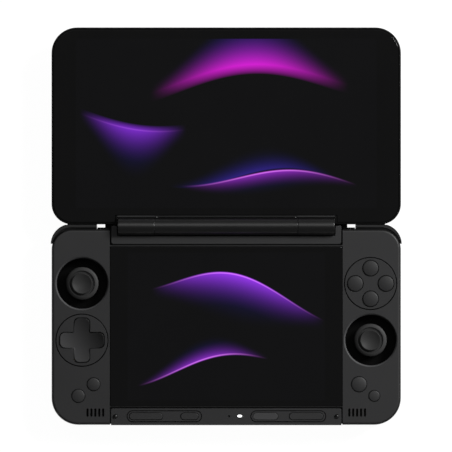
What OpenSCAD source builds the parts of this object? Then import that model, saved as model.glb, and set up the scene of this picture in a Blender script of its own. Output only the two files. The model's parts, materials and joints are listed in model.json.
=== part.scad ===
// Clamshell handheld game console, opened flat. Millimetres, +Z up, +Y away from the player.
// The origin is on the table, straight under the middle of the lid's hinge axis.

/* [Body] */
// Width of both halves
body_w = 180; // [178:0.5:186]
// Distance from the hinge axis to the front edge of the base, and to the far edge of the lid
reach = 102.45; // [102:0.05:106]
// Height of the deck above the table
deck_z = 19; // [18.8:0.1:21]
// Thickness of the side walls
wall = 1.6; // [1.3:0.1:1.8]
// Thickness of the deck plate
plate_t = 1.6; // [1.3:0.1:1.8]
// Thickness of the bottom plate
floor_t = 1.5; // [1.2:0.1:1.8]
// Height of the rubber feet
foot_h = 0.8; // [0.6:0.1:1.2]
// Height of the seam between deck and bottom shell
seam_z = 12; // [11.8:0.1:12.4]
// Corner radius at the front of the base
front_r = 13.9; // [12:0.1:15]
// Corner radius beside the hinge, on both halves
hinge_side_r = 10.5; // [9.5:0.1:11.5]
// Rounding along the upper edge of the deck
deck_edge_r = 1.6; // [0.6:0.1:1.8]
// Rounding along the lower edge of the bottom shell
under_edge_r = 2.4; // [1.5:0.1:3]
// Distance from the hinge axis to the rear edge of the deck
rear_inset = 1.35; // [1.3:0.05:2]

/* [Lid] */
// Thickness of the lid
lid_t = 8.4; // [8.2:0.1:9]
// Gap between the closed lid's glass and the deck
lid_gap = 1.6; // [1.5:0.1:2.2]
// Distance from the hinge axis to the near edge of the lid
lid_near = 1; // [0.9:0.05:1.2]
// Corner radius at the far edge of the lid
lid_r = 13.2; // [12:0.1:15]
// Rounding along the edge of the lid's back
lid_edge_r = 2.6; // [1.5:0.1:3]
// Thickness of the lid's back plate
lid_back_t = 1.4; // [1.2:0.1:1.5]
// Height of the front frame
frame_h = 2.4; // [2:0.1:2.6]
// Width of the rim that shows round the lid's glass
rim_w = 1; // [0.7:0.1:1.4]
// Height of the lid's glass below the rim's top
glass_drop = 0.1; // [0.05:0.05:0.2]

/* [Displays] */
// Border of the lid beside the upper picture
upper_side = 12.515; // [12:0.005:14]
// Border of the lid beyond the upper picture
upper_far = 5.88; // [5.6:0.01:8]
// Distance from the hinge axis to the upper picture
upper_y = 9.4; // [9.3:0.05:10]
// Border of the lower glass beside the picture
lower_side = 8.95; // [8.5:0.05:10]
// Border of the lower glass before and behind the picture
lower_border = 3; // [2.8:0.05:4]
// Border of a display module round its picture
module_rim = 1.2; // [0.8:0.1:1.4]
// Thickness of a display module
module_t = 2.6; // [2:0.1:2.6]
// Thickness of both cover glasses
glass_t = 1.1; // [0.8:0.1:1.2]

/* [Hinge] */
// Distance from the side of the lower glass to the end of the hinge barrel
barrel_side = 4; // [3.5:0.25:4.5]
// Length of the barrel's end pieces, with the gap to the middle piece
knuckle_len = 19; // [18.5:0.25:20]
// Radius of the end knuckles
knuckle_r = 4.6; // [4.5:0.05:4.7]
// Radius of the middle piece
lid_barrel_r = 4.5; // [4.2:0.05:4.6]
// Radius of the friction cartridges
cartridge_r = 3.4; // [3:0.05:3.6]
// Radius of the hinge shafts
shaft_r = 1.95; // [1.6:0.05:2.1]
// Running clearance of a shaft in its hole
run_gap = 0.05; // [0.03:0.01:0.08]
// Gap between the barrel and the lid's notch
notch_gap = 0.25; // [0.2:0.05:0.4]
// Width of the lid's rim along the notch
notch_rim = 0.75; // [0.6:0.05:1]

/* [Middle column] */
// Width of the deck beside the lower glass
wing_w = 30.25; // [30:0.05:30.75]
// Groove beside the pieces of the middle column
column_gap = 0.25; // [0.15:0.05:0.3]
// Distance from the hinge axis to the front edge of the rear panel
panel_front = 9.2; // [9:0.05:9.4]
// Distance from the hinge axis to the rear edge of the lower glass
glass_rear = 10.5; // [10.4:0.05:10.6]
// Depth of the front strip
strip_depth = 8.65; // [8.5:0.05:8.75]
// Lip and groove between the lower glass and the front strip
strip_seam = 1.1; // [1:0.05:1.2]
// How far the deck's wings stay behind the front strip
wing_inset = 0.15; // [0.05:0.05:0.3]

/* [Controls] */
// Distance from the side edge to the middle of the stick and cross pad
control_inset = 15.65; // [15.4:0.05:15.8]
// Distance between the two rows of controls
row_pitch = 29.2; // [28.9:0.1:29.5]
// Radius of a stick's well
well_r = 13; // [12.6:0.1:13.1]
// Radius of a stick's cap
cap_r = 8.45; // [8:0.05:8.8]
// Height of a stick's cap below the deck
cap_drop = 1.5; // [1.4:0.1:1.8]
// Tilt of a stick about each axis, in degrees
stick_tilt = 16; // [12:1:16]
// Click travel of a stick
stick_click = 0.4; // [0.2:0.1:0.5]
// Radius of the discs that hold the cross pad and the face buttons
disc_r = 13.2; // [13:0.05:13.3]
// Groove round a disc
disc_gap = 0.5; // [0.3:0.05:0.5]
// Span of the cross pad
pad_span = 22.7; // [21.5:0.1:23.2]
// Width of a cross pad arm
pad_arm = 7.85; // [7.2:0.05:8.2]
// Radius of a face button
face_r = 4.03; // [3.8:0.01:4.1]
// Distance of a face button from the middle of its disc
face_offset = 7.9; // [7.8:0.05:8.1]
// Travel of a face button
face_travel = 0.8; // [0.5:0.1:0.8]
// Height of the face buttons above the deck
face_proud = 0.9; // [0.7:0.05:0.9]
// Height of the cross pad above the deck
pad_proud = 0.6; // [0.4:0.05:0.6]
// Height of the small round buttons above the deck
small_proud = 0.6; // [0.3:0.05:0.7]
// Height of the strip buttons above the deck
strip_proud = 0.35; // [0.2:0.05:0.5]
// Clearance round a button in its hole
button_gap = 0.25; // [0.2:0.05:0.3]

/* [Shoulder controls] */
// Length of a shoulder bumper from the side of the base
bumper_len = 23.1; // [22.5:0.05:23.2]
// How far a bumper stands past the hinge axis
bumper_y = 0.8; // [0.5:0.05:0.85]
// Reach of a trigger past the hinge axis
trigger_y = 4.6; // [3.5:0.1:6]
// Width of a trigger at its pivot
trigger_w = 15.3; // [14:0.1:15.6]
// Radius of the shoulder pins
pin_r = 0.8; // [0.6:0.05:0.9]

/* [Inside] */
// Space between the battery and the side of the lower glass
battery_side = 3.75; // [2:0.25:14.75]
// Space between the battery and the front edge
battery_front = 5.95; // [5:0.05:12]
// Thickness of the battery
battery_h = 9; // [7:0.5:10]
// Radius of the fan's blades
fan_r = 15.5; // [13:0.1:16]
// Number of fan blades
fan_blades = 11; // [7:1:15]
// Number of cooling fins
fin_count = 13; // [8:1:16]
// Pitch of the speaker slots
slot_pitch = 2.02; // [1.9:0.01:2.1]
// Number of speaker slots on each side
slot_count = 5; // [3:1:5]

/* [Hidden] */
$fn = 64;
eps = 0.01;

// Colours as the photo shows them
shell_grey = [0.19, 0.19, 0.20];
button_grey = [0.26, 0.26, 0.27];
cap_grey = [0.15, 0.15, 0.16];
glass_black = [0.06, 0.06, 0.07];
panel_violet = [0.30, 0.10, 0.50];
steel = [0.62, 0.62, 0.65];
board_green = [0.08, 0.30, 0.20];
rubber_black = [0.08, 0.08, 0.08];
lens_white = [0.95, 0.95, 0.95];
copper = [0.72, 0.42, 0.25];
battery_grey = [0.35, 0.36, 0.38];

// Heights that follow from the driving sizes
hinge_z = deck_z + lid_gap / 2;
lid_back_z = deck_z - lid_t;
floor_z = foot_h + floor_t;
plate_z = deck_z - plate_t;
frame_z = deck_z - frame_h;
glass_z = deck_z - glass_drop - glass_t;
hump_clear = 0.7;
hump_z = lid_back_z - hump_clear;
front_y = -reach;
wing_front_y = front_y + wing_inset;
deck_rear_y = -rear_inset;
control_x = body_w / 2 - control_inset;
seat_gap = 0.05;
part_gap = 0.3;

magnet = [4, 9, 2.4];

// Depth of the rear hump behind the hinge axis, and its width
hump_y = 4.6;
hump_side = 4.3;
hump_w = 2 * (body_w / 2 - bumper_len - hump_side);
hump_edge_r = 1.5;
// The rear wall stands out between the hump and the shoulder pockets
rear_ledge_x = hump_w / 2 - 2;
rear_ledge_y = -0.6;

// Middle column, displays and hinge barrel
column_w = body_w - 2 * wing_w;
strip_rear = reach - strip_depth;
glass_front = strip_rear - strip_seam;
upper_w = body_w - 2 * upper_side;
upper_h = reach - upper_y - upper_far;
lower_w = column_w - 2 * lower_side;
lower_h = glass_front - glass_rear - 2 * lower_border;
lower_y = (glass_front + glass_rear) / 2;
barrel_len = column_w - 2 * barrel_side;
lid_barrel_len = barrel_len - 2 * knuckle_len;
column_pocket_w = column_w + 2 * column_gap;
ledge_t = 1.6;
lip_t = 0.85;
module_side = 1;
lower_module_w = lower_w + 2 * (module_rim + module_side);
lower_module_h = lower_h + 2 * module_rim;
module_gap = 0.25;
rear_bar_h = 3;
shelf_in = 1;
side_in = 0.8;
lip_under = 0.4;
panel_groove = 0.4;
strip_groove = 0.6;

// Details of the hinge
trough_gap = 0.4;
trough_r = knuckle_r + trough_gap;
panel_rear_y = -1.9;
panel_bottom_z = 13.4;
panel_play = 0.5;
panel_w = column_w - 2 * panel_play;
ear_y = 0.25;
ear_inset = barrel_len / 2 + 0.5;
foot_web = [15, 3.6, 7.1];
foot_web_y = -1.2;
cartridge_len = 16.5;
cartridge_end = 1.4;
barrel_gap = 0.15;
shaft_depth = 11;
web_y = 4.6;
web_foot_y = 11.5;
web_z = [12.4, 14.4];
web_inset = 1;
web_front_y = -0.5;
notch_lip_y = 4.2;
notch_lip_z = 14.4;
barrel_screw_x = [for (share = [0.1622, 0.4054]) share * lid_barrel_len];
barrel_screw_y = 8.6;
barrel_screw_r = 0.8;
barrel_screw_head = [1.5, 0.5];

// Sticks
pivot_z = 8;
well_wall = 0.8;
well_floor_t = 0.6;
// Both axes at their limit tilt the cap by this angle, and its edge then stays above the well's floor
full_tilt = acos(cos(stick_tilt) * cos(stick_tilt));
well_hole_r = 6.2;
gimbal_wall = 1.6;
gimbal_in = 5.9;
gimbal_post_out = 0.8;
ring_out = 5.2;
ring_in = 3.6;
ring_half = 1.1;
yoke_pin_r = 0.8;
stem_pin_r = 0.6;
hub_half = 2.6;
hub_up = 1.6;
stem_r = 1.5;
neck_r = 3.4;
neck_z = 11;
cap_t = 1.8;
cap_disc_r = 5.4;
cap_disc_up = 0.4;
cap_groove = 0.7;
cap_dish_r = 40;
cap_edge_r = 0.85;
cap_z = deck_z - cap_drop;
cap_under = cap_z - cap_disc_up - cap_t - pivot_z;
well_floor_top = pivot_z + cap_under * cos(full_tilt) - cap_r * sin(full_tilt) - stick_click - part_gap;
well_floor_z = well_floor_top - well_floor_t;
gimbal_top = well_floor_z - part_gap;

// Cross pad and face buttons
disc_drop = 0.1;
disc_flange_r = disc_r + 1;
flange_t = 0.8;
pad_corner_r = 2.6;
pad_pivot_z = 15.1;
pad_ear = [3, 1.2];
pad_ear_x = 2.5;
pad_ear_trim = 0.2;
pad_ear_under = 0.8;
pad_core = 1.8;
pad_under = 0.1;
pusher_in = 2.8;
pusher_x = pad_span / 2 - pusher_in;
pusher_gap = 0.6;
pad_dish_r = 60;
pad_dish = 0.35;
board_top_z = 13.2;
board_t = 1;
dome_t = 0.9;
dome_r = 2;
stub_r = 1.6;
stub_gap = 0.2;
flange_w = 0.8;
dome_button_r = 18;

// Small round buttons: place, radius and travel
small_travel = 0.5;
small_upper_in = 5.95;
small_lower_out = 1.9;
small_r = [3.35, 3.4, 3.95, 2.85];
small_upper_front = 21.05;
small_lower_front = 15.05;
small_upper_y = front_y + small_upper_front;
small_lower_y = front_y + small_lower_front;
small_spots = [
    [-control_x + small_upper_in, small_upper_y, small_r[0]],
    [-control_x - small_lower_out, small_lower_y, small_r[1]],
    [control_x - small_upper_in, small_upper_y, small_r[2]],
    [control_x + small_lower_out, small_lower_y, small_r[3]]];

// The two rows of controls share the room between the shoulder pocket and the small buttons
shoulder_room = 10;
control_r = disc_r + disc_gap;
rear_share = 0.5346;
row_spare = reach - shoulder_room - small_upper_front - small_r[2] - row_pitch - 2 * control_r;
rear_row = shoulder_room + control_r + rear_share * row_spare;
front_row = rear_row + row_pitch;

// Front strip: middle, length and travel of its buttons
strip_front = 4.55;
strip_y = front_y + strip_front;
strip_travel = 0.4;
strip_button_w = 3.45;
// Lengths, middles, groove ends and posts as shares of the column's width
strip_button_len = [for (share = [0.1435, 0.0753, 0.1063, 0.1456]) share * column_w];
strip_button_x = [for (share = [-0.3459, -0.1582, 0.1695, 0.3448]) share * column_w];
strip_board_z = 14.6;
rocker_stub_x = strip_button_len[0] / 3;
rocker_foot_r = 0.7;
rocker_lift = 0.1;
rocker_z = strip_board_z + rocker_foot_r + rocker_lift;
strip_play = 0.4;
strip_front_t = 1.25;
groove_w = 0.45;
groove_d = 0.8;
groove_h = 6.1;
groove_ends = [for (ends = [[-0.4293, -0.1046], [0.1038, 0.431]]) ends * column_w];
rest_side = 2.7;
rest_x = column_w / 2 - rest_side;
rest_r = 1.15;
rest_neck_r = 0.805;
rest_dome_r = 1.265;
rest_up = 1.1;
led_x = 6.9;
led = [2.9, 2.05];
mic_x = 1.5;
mic_r = 0.55;
post_r = 1.2;
post_in = 1.4;
post_side = [3.75, 6];
post_x = [column_w / 2 + post_side[0], body_w / 2 - post_side[1]];
post_front = 17.3;
post_y = -front_row - post_front;
strip_posts = [for (share = [-0.446, -0.235, 0.247, 0.446]) share * column_w];

// Speaker slots
slot_w = 1.1;
slot_front = [4.35, 8.6];
slot_y = [front_y + slot_front[0], front_y + slot_front[1]];
slot_side = 3.65;
slot_x = column_w / 2 + slot_side;
speaker = [15.5, 8.6, 6.6];
speaker_in = 6.3;
speaker_x = slot_x + speaker_in;

// Case screws
screw_side = [5.1, 7.5];
screw_behind = 2.65;
screw_share = 0.1705;
screw_rear = shoulder_room + screw_behind + screw_share * row_spare;
screw_front = 9.95;
screw_spots = [
    [body_w / 2 - screw_side[0], -screw_rear],
    [body_w / 2 - screw_side[0], -rear_row - row_pitch / 2],
    [body_w / 2 - screw_side[1], front_y + screw_front]];
screw_r = 0.95;
screw_head_r = 2;
screw_head_t = 1;
screw_head_gap = 0.15;
boss_r = 2.2;
screw_top_z = 15.2;

// Details of the shoulder controls
bumper_x = body_w / 2 - bumper_len;
pocket_y = -6.3;
pocket_side_y = -9.2;
pocket_side = 5;
pocket_side_x = body_w / 2 - pocket_side;
pocket_wall = 1.2;
pocket_x = bumper_x - 0.4;
bumper_z = 10.9;
bumper_drop = 0.6;
bumper_back_y = -4.6;
bumper_end_y = -9;
bumper_proud = 0.45;
bumper_corner_drop = 0.4;
bumper_side_t = 3.8;
bumper_slit = 0.8;
bumper_side_slit = 0.1;
bumper_pin_side = 2.8;
bumper_pin = [body_w / 2 - bumper_pin_side, -7.3];
shelf_z = 10;
shelf_t = 0.7;
trigger_z = 3;
trigger_top_z = 9.7;
trigger_pivot = [-3.6, 8.4];
trigger_arm_r = 1.25;
trigger_face_t = 3.6;
trigger_side = 1.2;
lug_t = 1.4;
lug_wall = 0.9;
trigger_r = 8;

// Parts inside the base
board_z = 6;
fan_side = 29.75;
fan_x = column_w / 2 - fan_side;
board_side_x = 2.75;
board_fan = 22;
board_size = [fan_x - board_fan + column_w / 2 - board_side_x, 44];
board_x = fan_x - board_fan - board_size[0] / 2;
board_y = -28;
post_inset = 4;
fan_y = -28;
fan_box = [38, 38, 6.5];
fan_wall = 1.4;
fan_gap = 0.9;
fan_axle_r = 1;
fan_hub_r = 6.5;
blade_t = 0.9;
fin_pitch = 2.9;
fin_t = 0.5;
fin_y = [-7.6, 2.8];
fin_top_z = 8.3;
pipe = [6.5, 2];
pipe_y = -7.4;
chip = [20, 18, 0.9];
chip_y = 4;
chip_out = [for (share = [0.3077, 0.2462]) share * board_size[0]];
small_chips = [[-chip_out[0], 8, 11, 11], [-chip_out[0], -8, 11, 11], [chip_out[1], -12, 12, 8]];
battery_gap = 2.5;
battery_rear_y = board_y - board_size[1] / 2 - battery_gap;
battery_half = column_w / 2 - battery_side;
vent_w = 1.5;
foot_len = 18;
foot_w = 5;
foot_inset = 24;
foot_front = 8.45;
rear_foot_in = 14.6;
rear_foot_x = hump_w / 2 - rear_foot_in;
board_inset = 0.2;
board_side = 5;
board_front = 11.85;
board_front_y = front_y + board_front;
strip_board_side = 5.25;
strip_board = [column_w / 2 - strip_board_side, 5.2];
port = [8.94, 9.6, 3.2];
port_x = -20;
port_wall = 0.3;
port_tongue = [6.74, 0.8];

// Names and directions of mirrored pieces
left = -1;
right = 1;

// Flat outline with its own corner radii at the near edge (y0) and far edge (y1)
module round_plan(w, y0, y1, r0, r1) {
    mid = (y0 + y1) / 2;
    translate([-w / 2, y0 + r0]) square([w, y1 - y0 - r0 - r1]);
    translate([-w / 2 + r0, y0]) square([w - 2 * r0, mid - y0]);
    translate([-w / 2 + r1, mid]) square([w - 2 * r1, y1 - mid]);
    for (side = [-1, 1]) {
        translate([side * (w / 2 - r0), y0 + r0]) circle(r0);
        translate([side * (w / 2 - r1), y1 - r1]) circle(r1);
    }
}

module block(w, y0, y1, z0, z1, r0, r1) {
    translate([0, 0, z0]) linear_extrude(z1 - z0) round_plan(w, y0, y1, r0, r1);
}

// Section through a rounded edge: length from the middle, height, lower and upper rounding
module edge_section(len, h, fb, ft) {
    translate([0, fb]) square([len, h - fb - ft]);
    square([len - fb, fb + eps]);
    translate([0, h - ft - eps]) square([len - ft, ft + eps]);
    if (fb > 0) translate([len - fb, fb]) circle(fb);
    if (ft > 0) translate([len - ft, h - ft]) circle(ft);
}

// Slab with rounded corners in plan and rounded lower and upper edges
module soft_slab(w, y0, y1, z0, z1, r0, r1, fb, ft) {
    mid = (y0 + y1) / 2;
    h = z1 - z0;
    translate([0, 0, z0]) {
        for (side = [-1, 1]) {
            translate([side * (w / 2 - r0), y0 + r0]) rotate_extrude() edge_section(r0, h, fb, ft);
            translate([side * (w / 2 - r1), y1 - r1]) rotate_extrude() edge_section(r1, h, fb, ft);
            translate([0, y0 + r0]) rotate([90, 0, 180]) mirror([side < 0 ? 1 : 0, 0, 0])
                linear_extrude(y1 - y0 - r0 - r1) edge_section(w / 2, h, fb, ft);
        }
        translate([-w / 2 + r0, mid]) rotate([90, 0, -90]) mirror([0, 0, 1])
            linear_extrude(w - 2 * r0) edge_section(mid - y0, h, fb, ft);
        translate([w / 2 - r1, mid]) rotate([90, 0, 90]) mirror([0, 0, 1])
            linear_extrude(w - 2 * r1) edge_section(y1 - mid, h, fb, ft);
    }
}

module box(x0, x1, y0, y1, z0, z1) {
    translate([x0, y0, z0]) cube([x1 - x0, y1 - y0, z1 - z0]);
}

module rod(x, y, z0, z1, r) {
    translate([x, y, z0]) cylinder(h = z1 - z0, r = r);
}

module rod_x(x0, x1, y, z, r) {
    translate([x0, y, z]) rotate([0, 90, 0]) cylinder(h = x1 - x0, r = r);
}

module rod_y(y0, y1, x, z, r) {
    translate([x, y0, z]) rotate([-90, 0, 0]) cylinder(h = y1 - y0, r = r);
}

// Long shape with round ends, lying along X
module pill(len, w) {
    square([len - w, w], center = true);
    for (side = [-1, 1]) translate([side * (len - w) / 2, 0]) circle(w / 2);
}

module pill_block(x, y, z0, z1, len, w) {
    translate([x, y, z0]) linear_extrude(z1 - z0) pill(len, w);
}

// Space inside the base shells, less the walls round the shoulder pockets
module base_cavity(z0, z1) {
    difference() {
        block(body_w - 2 * wall, front_y + wall + wing_inset, deck_rear_y - wall, z0, z1,
            front_r - wall, hinge_side_r - wall);
        for (side = [left, right]) shoulder_pocket(side, pocket_wall, z0 - eps, z1 + eps);
    }
}

// Recess in the rear corner that takes a bumper and a trigger, grown by a wall
module shoulder_pocket(side, grow, z0, z1) {
    far = body_w / 2 + wall;
    mirror([side < 0 ? 1 : 0, 0, 0]) {
        box(pocket_x - grow, far, pocket_y - grow, hump_y + wall, z0, z1);
        box(pocket_side_x - grow, far, pocket_side_y - grow, hump_y + wall, z0, z1);
    }
}

module screw_bosses(z0, z1, hole_r) {
    for (side = [left, right], spot = screw_spots)
        difference() {
            rod(side * spot[0], spot[1], z0, z1, boss_r);
            rod(side * spot[0], spot[1], z0 - eps, z1 + eps, hole_r);
        }
}

module base_bottom_shell() color(shell_grey) {
    difference() {
        union() {
            soft_slab(body_w, wing_front_y, deck_rear_y, foot_h, seam_z, front_r, hinge_side_r,
                under_edge_r, 0);
            soft_slab(hump_w, deck_rear_y - hinge_side_r, hump_y, foot_h, hump_z, hump_edge_r * 2,
                hump_edge_r * 2, hump_edge_r, 0);
            for (side = [-1, 1]) mirror([side < 0 ? 1 : 0, 0, 0])
                box(rear_ledge_x, pocket_x, deck_rear_y - wall, rear_ledge_y, floor_z, seam_z);
        }
        base_cavity(floor_z, seam_z + eps);
        box(-hump_w / 2 + wall, hump_w / 2 - wall, deck_rear_y - 2 * wall, hump_y - wall, floor_z,
            hump_z - wall);
        for (side = [left, right]) {
            shoulder_pocket(side, 0, floor_z, shelf_z);
            shoulder_pocket(side, 0, shelf_z + shelf_t, seam_z + eps);
            bumper_pin_hole(side);
            trigger_pin_hole(side);
        }
        column_front_recess(foot_h + floor_t + under_edge_r, seam_z + eps);
        for (side = [left, right], spot = screw_spots) {
            rod(side * spot[0], spot[1], foot_h - eps, foot_h + screw_head_t + part_gap,
                screw_head_r + screw_head_gap);
            rod(side * spot[0], spot[1], foot_h, floor_z + eps, screw_r + seat_gap);
        }
        exhaust_slots();
        intake_slots();
        port_mouth();
    }
    screw_bosses(floor_z - eps, seam_z, screw_r + seat_gap);
    for (side = [left, right]) trigger_lug(side);
    for (side = [-1, 1], row = [-1, 1])
        rod(board_x + side * (board_size[0] / 2 - post_inset),
            board_y + row * (board_size[1] / 2 - post_inset),
            floor_z - eps, board_z, boss_r);
}

// The front wall of the column steps back, because the front strip wraps over it
module column_front_recess(z0, z1) {
    half = column_pocket_w / 2;
    box(-half, half, front_y - wall, front_y + strip_front_t + seat_gap, z0, z1);
}

module bumper_pin_hole(side) {
    rod(side * bumper_pin[0], bumper_pin[1], shelf_z - eps, plate_z + plate_t / 2, pin_r + seat_gap);
}

module trigger_pin_hole(side) {
    mirror([side < 0 ? 1 : 0, 0, 0])
        rod_x(pocket_x - pocket_wall - eps, pocket_x + trigger_w + 3 * lug_t, trigger_pivot[0],
            trigger_pivot[1], pin_r + seat_gap);
}

// Lug under the shelf that holds the outer end of a trigger's pin
module trigger_lug(side) {
    x0 = pocket_x + part_gap + trigger_w + part_gap;
    lug_r = pin_r + lug_wall;
    mirror([side < 0 ? 1 : 0, 0, 0]) difference() {
        union() {
            rod_x(x0, x0 + lug_t, trigger_pivot[0], trigger_pivot[1], lug_r);
            box(x0, x0 + lug_t, trigger_pivot[0] - lug_r, trigger_pivot[0] + lug_r, trigger_pivot[1],
                shelf_z + eps);
        }
        rod_x(x0 - eps, x0 + lug_t + eps, trigger_pivot[0], trigger_pivot[1], pin_r + seat_gap);
    }
}

module exhaust_slots() {
    for (i = [0:fin_count - 1])
        translate([fan_x + (i - (fin_count - 1) / 2) * fin_pitch, hump_y, (floor_z + fin_top_z) / 2])
            cube([vent_w, 4 * wall, fin_top_z - floor_z - 2 * part_gap], center = true);
}

// Parallel air slots under the fan, as long as the circle they fill allows
module intake_slots() {
    reach_r = fan_r - 2 * vent_w;
    for (y = [-reach_r + vent_w:2 * vent_w:reach_r - vent_w])
        translate([fan_x, fan_y + y, floor_z - floor_t])
            linear_extrude(4 * floor_t, center = true) pill(2 * sqrt(reach_r * reach_r - y * y), vent_w);
}

module port_outline(grow) {
    pill(port[0] + 2 * grow, port[2] + 2 * grow);
}

module port_mouth() {
    translate([port_x, hump_y + wall, board_z - port[2] / 2]) rotate([90, 0, 0])
        linear_extrude(3 * wall) port_outline(part_gap);
}

module deck() color(shell_grey) {
    difference() {
        soft_slab(body_w, wing_front_y, deck_rear_y, seam_z, deck_z, front_r, hinge_side_r, 0, deck_edge_r);
        difference() {
            base_cavity(seam_z - eps, plate_z);
            display_frame();
        }
        column_pockets();
        for (side = [left, right]) {
            shoulder_pocket(side, 0, seam_z - eps, plate_z);
            bumper_pin_hole(side);
        }
        control_holes();
        speaker_slots();
    }
    screw_bosses(seam_z, plate_z + eps, screw_r + seat_gap);
    board_posts();
}

// Frame under the middle column that carries the lower glass and closes the strip and the panel
module display_frame() {
    half = column_pocket_w / 2 + wall;
    box(-half, half, -glass_front - lip_t, -panel_front, glass_z - ledge_t, plate_z + eps);
    box(-half, half, -panel_front - rear_bar_h, -panel_front - column_gap, panel_bottom_z, plate_z + eps);
    // Shelves under the open grooves of the panel and the strip
    box(-half, half, -panel_front - rear_bar_h, -panel_front + shelf_in,
        panel_bottom_z - seat_gap - lug_t, panel_bottom_z - seat_gap);
    box(-half, half, -strip_rear - lip_under, -glass_front, glass_z - ledge_t, plate_z - seat_gap);
    for (side = [-1, 1])
        translate([side * (half - wall / 2), 0, 0])
            box(-wall / 2, wall / 2, front_y, deck_rear_y, seam_z, plate_z);
    for (side = [-1, 1]) mirror([side < 0 ? 1 : 0, 0, 0])
        box(half - wall - side_in, half - wall + eps, front_y, deck_rear_y, seam_z, plate_z - seat_gap);
}

module column_pockets() {
    half = column_pocket_w / 2;
    window = lower_module_w / 2 + module_gap;
    // Rear panel
    box(-half, half, -panel_front - panel_groove, deck_rear_y + wall, panel_bottom_z - seat_gap,
        deck_z + eps);
    // Lower glass, with a lip before and behind it
    box(-half, half, -glass_front - column_gap / 2, -glass_rear + column_gap / 2, glass_z, deck_z + eps);
    box(-window, window, -lower_y - lower_module_h / 2 - module_gap,
        -lower_y + lower_module_h / 2 + module_gap, seam_z, deck_z);
    // Front strip
    box(-half, half, front_y - wall, -strip_rear + strip_groove, plate_z, deck_z + eps);
    column_front_recess(seam_z - eps, deck_z);
    // The lips stay a little below the deck
    box(-half, half, -strip_rear, -panel_front, deck_z - glass_drop, deck_z + eps);
}

module control_holes() {
    for (side = [left, right]) {
        stick_row = side == left ? -rear_row : -front_row;
        disc_row = side == left ? -front_row : -rear_row;
        rod(side * control_x, stick_row, seam_z - eps, deck_z + eps, well_r + well_wall + seat_gap);
        rod(side * control_x, disc_row, plate_z - flange_t - disc_drop - part_gap, plate_z + eps,
            disc_flange_r + part_gap);
        rod(side * control_x, disc_row, plate_z - eps, deck_z + eps, disc_r + disc_gap);
    }
    for (spot = small_spots) rod(spot[0], spot[1], plate_z - eps, deck_z + eps, spot[2] + button_gap);
}

module speaker_slots() {
    for (side = [left, right], i = [0:slot_count - 1])
        translate([side * (slot_x + i * slot_pitch), (slot_y[0] + slot_y[1]) / 2, plate_z - eps])
            rotate(90) linear_extrude(plate_t + 2 * eps) pill(slot_y[1] - slot_y[0], slot_w);
}

// Posts under the deck that the control boards are fixed to
module board_posts() {
    corner = disc_r - post_in;
    for (spot = concat(
            [for (side = [left, right], x = post_x) [side * x, post_y]],
            [[-control_x + corner, -front_row + corner], [control_x - corner, -rear_row - corner],
                [control_x - corner, -rear_row + corner]]))
        rod(spot[0], spot[1], board_top_z, plate_z + eps, post_r);
}

module rear_panel() color(shell_grey) {
    difference() {
        union() {
            box(-panel_w / 2, panel_w / 2, -panel_front, panel_rear_y, panel_bottom_z, deck_z);
            for (side = [-1, 1]) mirror([side < 0 ? 1 : 0, 0, 0])
                box(ear_inset, panel_w / 2, panel_rear_y - eps, ear_y, panel_bottom_z, deck_z);
        }
        rod_x(-ear_inset, ear_inset, 0, hinge_z, trough_r);
    }
}

module front_strip() color(shell_grey) {
    half = column_w / 2 - strip_play;
    difference() {
        union() {
            box(-half, half, front_y, -strip_rear, plate_z, deck_z);
            box(-half, half, front_y, front_y + strip_front_t,
                foot_h + floor_t + under_edge_r + seat_gap, deck_z);
            for (x = strip_posts) rod(x, strip_y, strip_board_z, plate_z + eps, post_r);
        }
        for (i = [0:3])
            pill_block(strip_button_x[i], strip_y, plate_z - eps, deck_z + eps,
                strip_button_len[i] + 2 * button_gap, strip_button_w + 2 * button_gap);
        for (ends = groove_ends) translate([0, 0, deck_z - groove_d]) linear_extrude(groove_d + eps)
            translate([(ends[0] + ends[1]) / 2, strip_y]) difference() {
                pill(ends[1] - ends[0], groove_h);
                pill(ends[1] - ends[0] - 2 * groove_w, groove_h - 2 * groove_w);
            }
        pill_block(led_x, strip_y, plate_z - eps, deck_z + eps, led[0] + 2 * seat_gap, led[1] + 2 * seat_gap);
        rod(mic_x, strip_y, plate_z - eps, deck_z + eps, mic_r);
        for (side = [-1, 1]) rod(side * rest_x, strip_y, plate_z + seat_gap, deck_z + eps, rest_neck_r);
    }
}

module rest_pads() color(rubber_black) {
    for (side = [-1, 1]) {
        rod(side * rest_x, strip_y, plate_z + seat_gap, deck_z + eps, rest_neck_r - seat_gap / 2);
        intersection() {
            rod(side * rest_x, strip_y, deck_z, deck_z + rest_up, rest_r);
            translate([side * rest_x, strip_y, deck_z + rest_up - rest_dome_r]) sphere(rest_dome_r);
        }
    }
}

module led_light_pipe() color(lens_white)
    pill_block(led_x, strip_y, strip_board_z, deck_z, led[0], led[1]);

module lower_glass() color(glass_black) {
    half = column_w / 2;
    box(-half, half, -glass_front, -glass_rear, glass_z, glass_z + glass_t);
}

module lower_display_panel() color(panel_violet) {
    box(-lower_module_w / 2, lower_module_w / 2, -lower_y - lower_module_h / 2, -lower_y + lower_module_h / 2,
        glass_z - module_t, glass_z);
}

module hinge_knuckle(side) color(shell_grey) {
    x0 = lid_barrel_len / 2 + barrel_gap;
    x1 = barrel_len / 2;
    mid = (x0 + x1) / 2;
    mirror([side < 0 ? 1 : 0, 0, 0]) difference() {
        union() {
            rod_x(x0, x1, 0, hinge_z, knuckle_r);
            box(mid - foot_web[0] / 2, mid + foot_web[0] / 2, foot_web_y, foot_web_y + foot_web[1], hump_z,
                hinge_z - knuckle_r / 2);
        }
        rod_x(x0 - eps, x1 - cartridge_end, 0, hinge_z, cartridge_r + seat_gap);
    }
}
module left_hinge_knuckle() hinge_knuckle(left);
module right_hinge_knuckle() hinge_knuckle(right);

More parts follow.
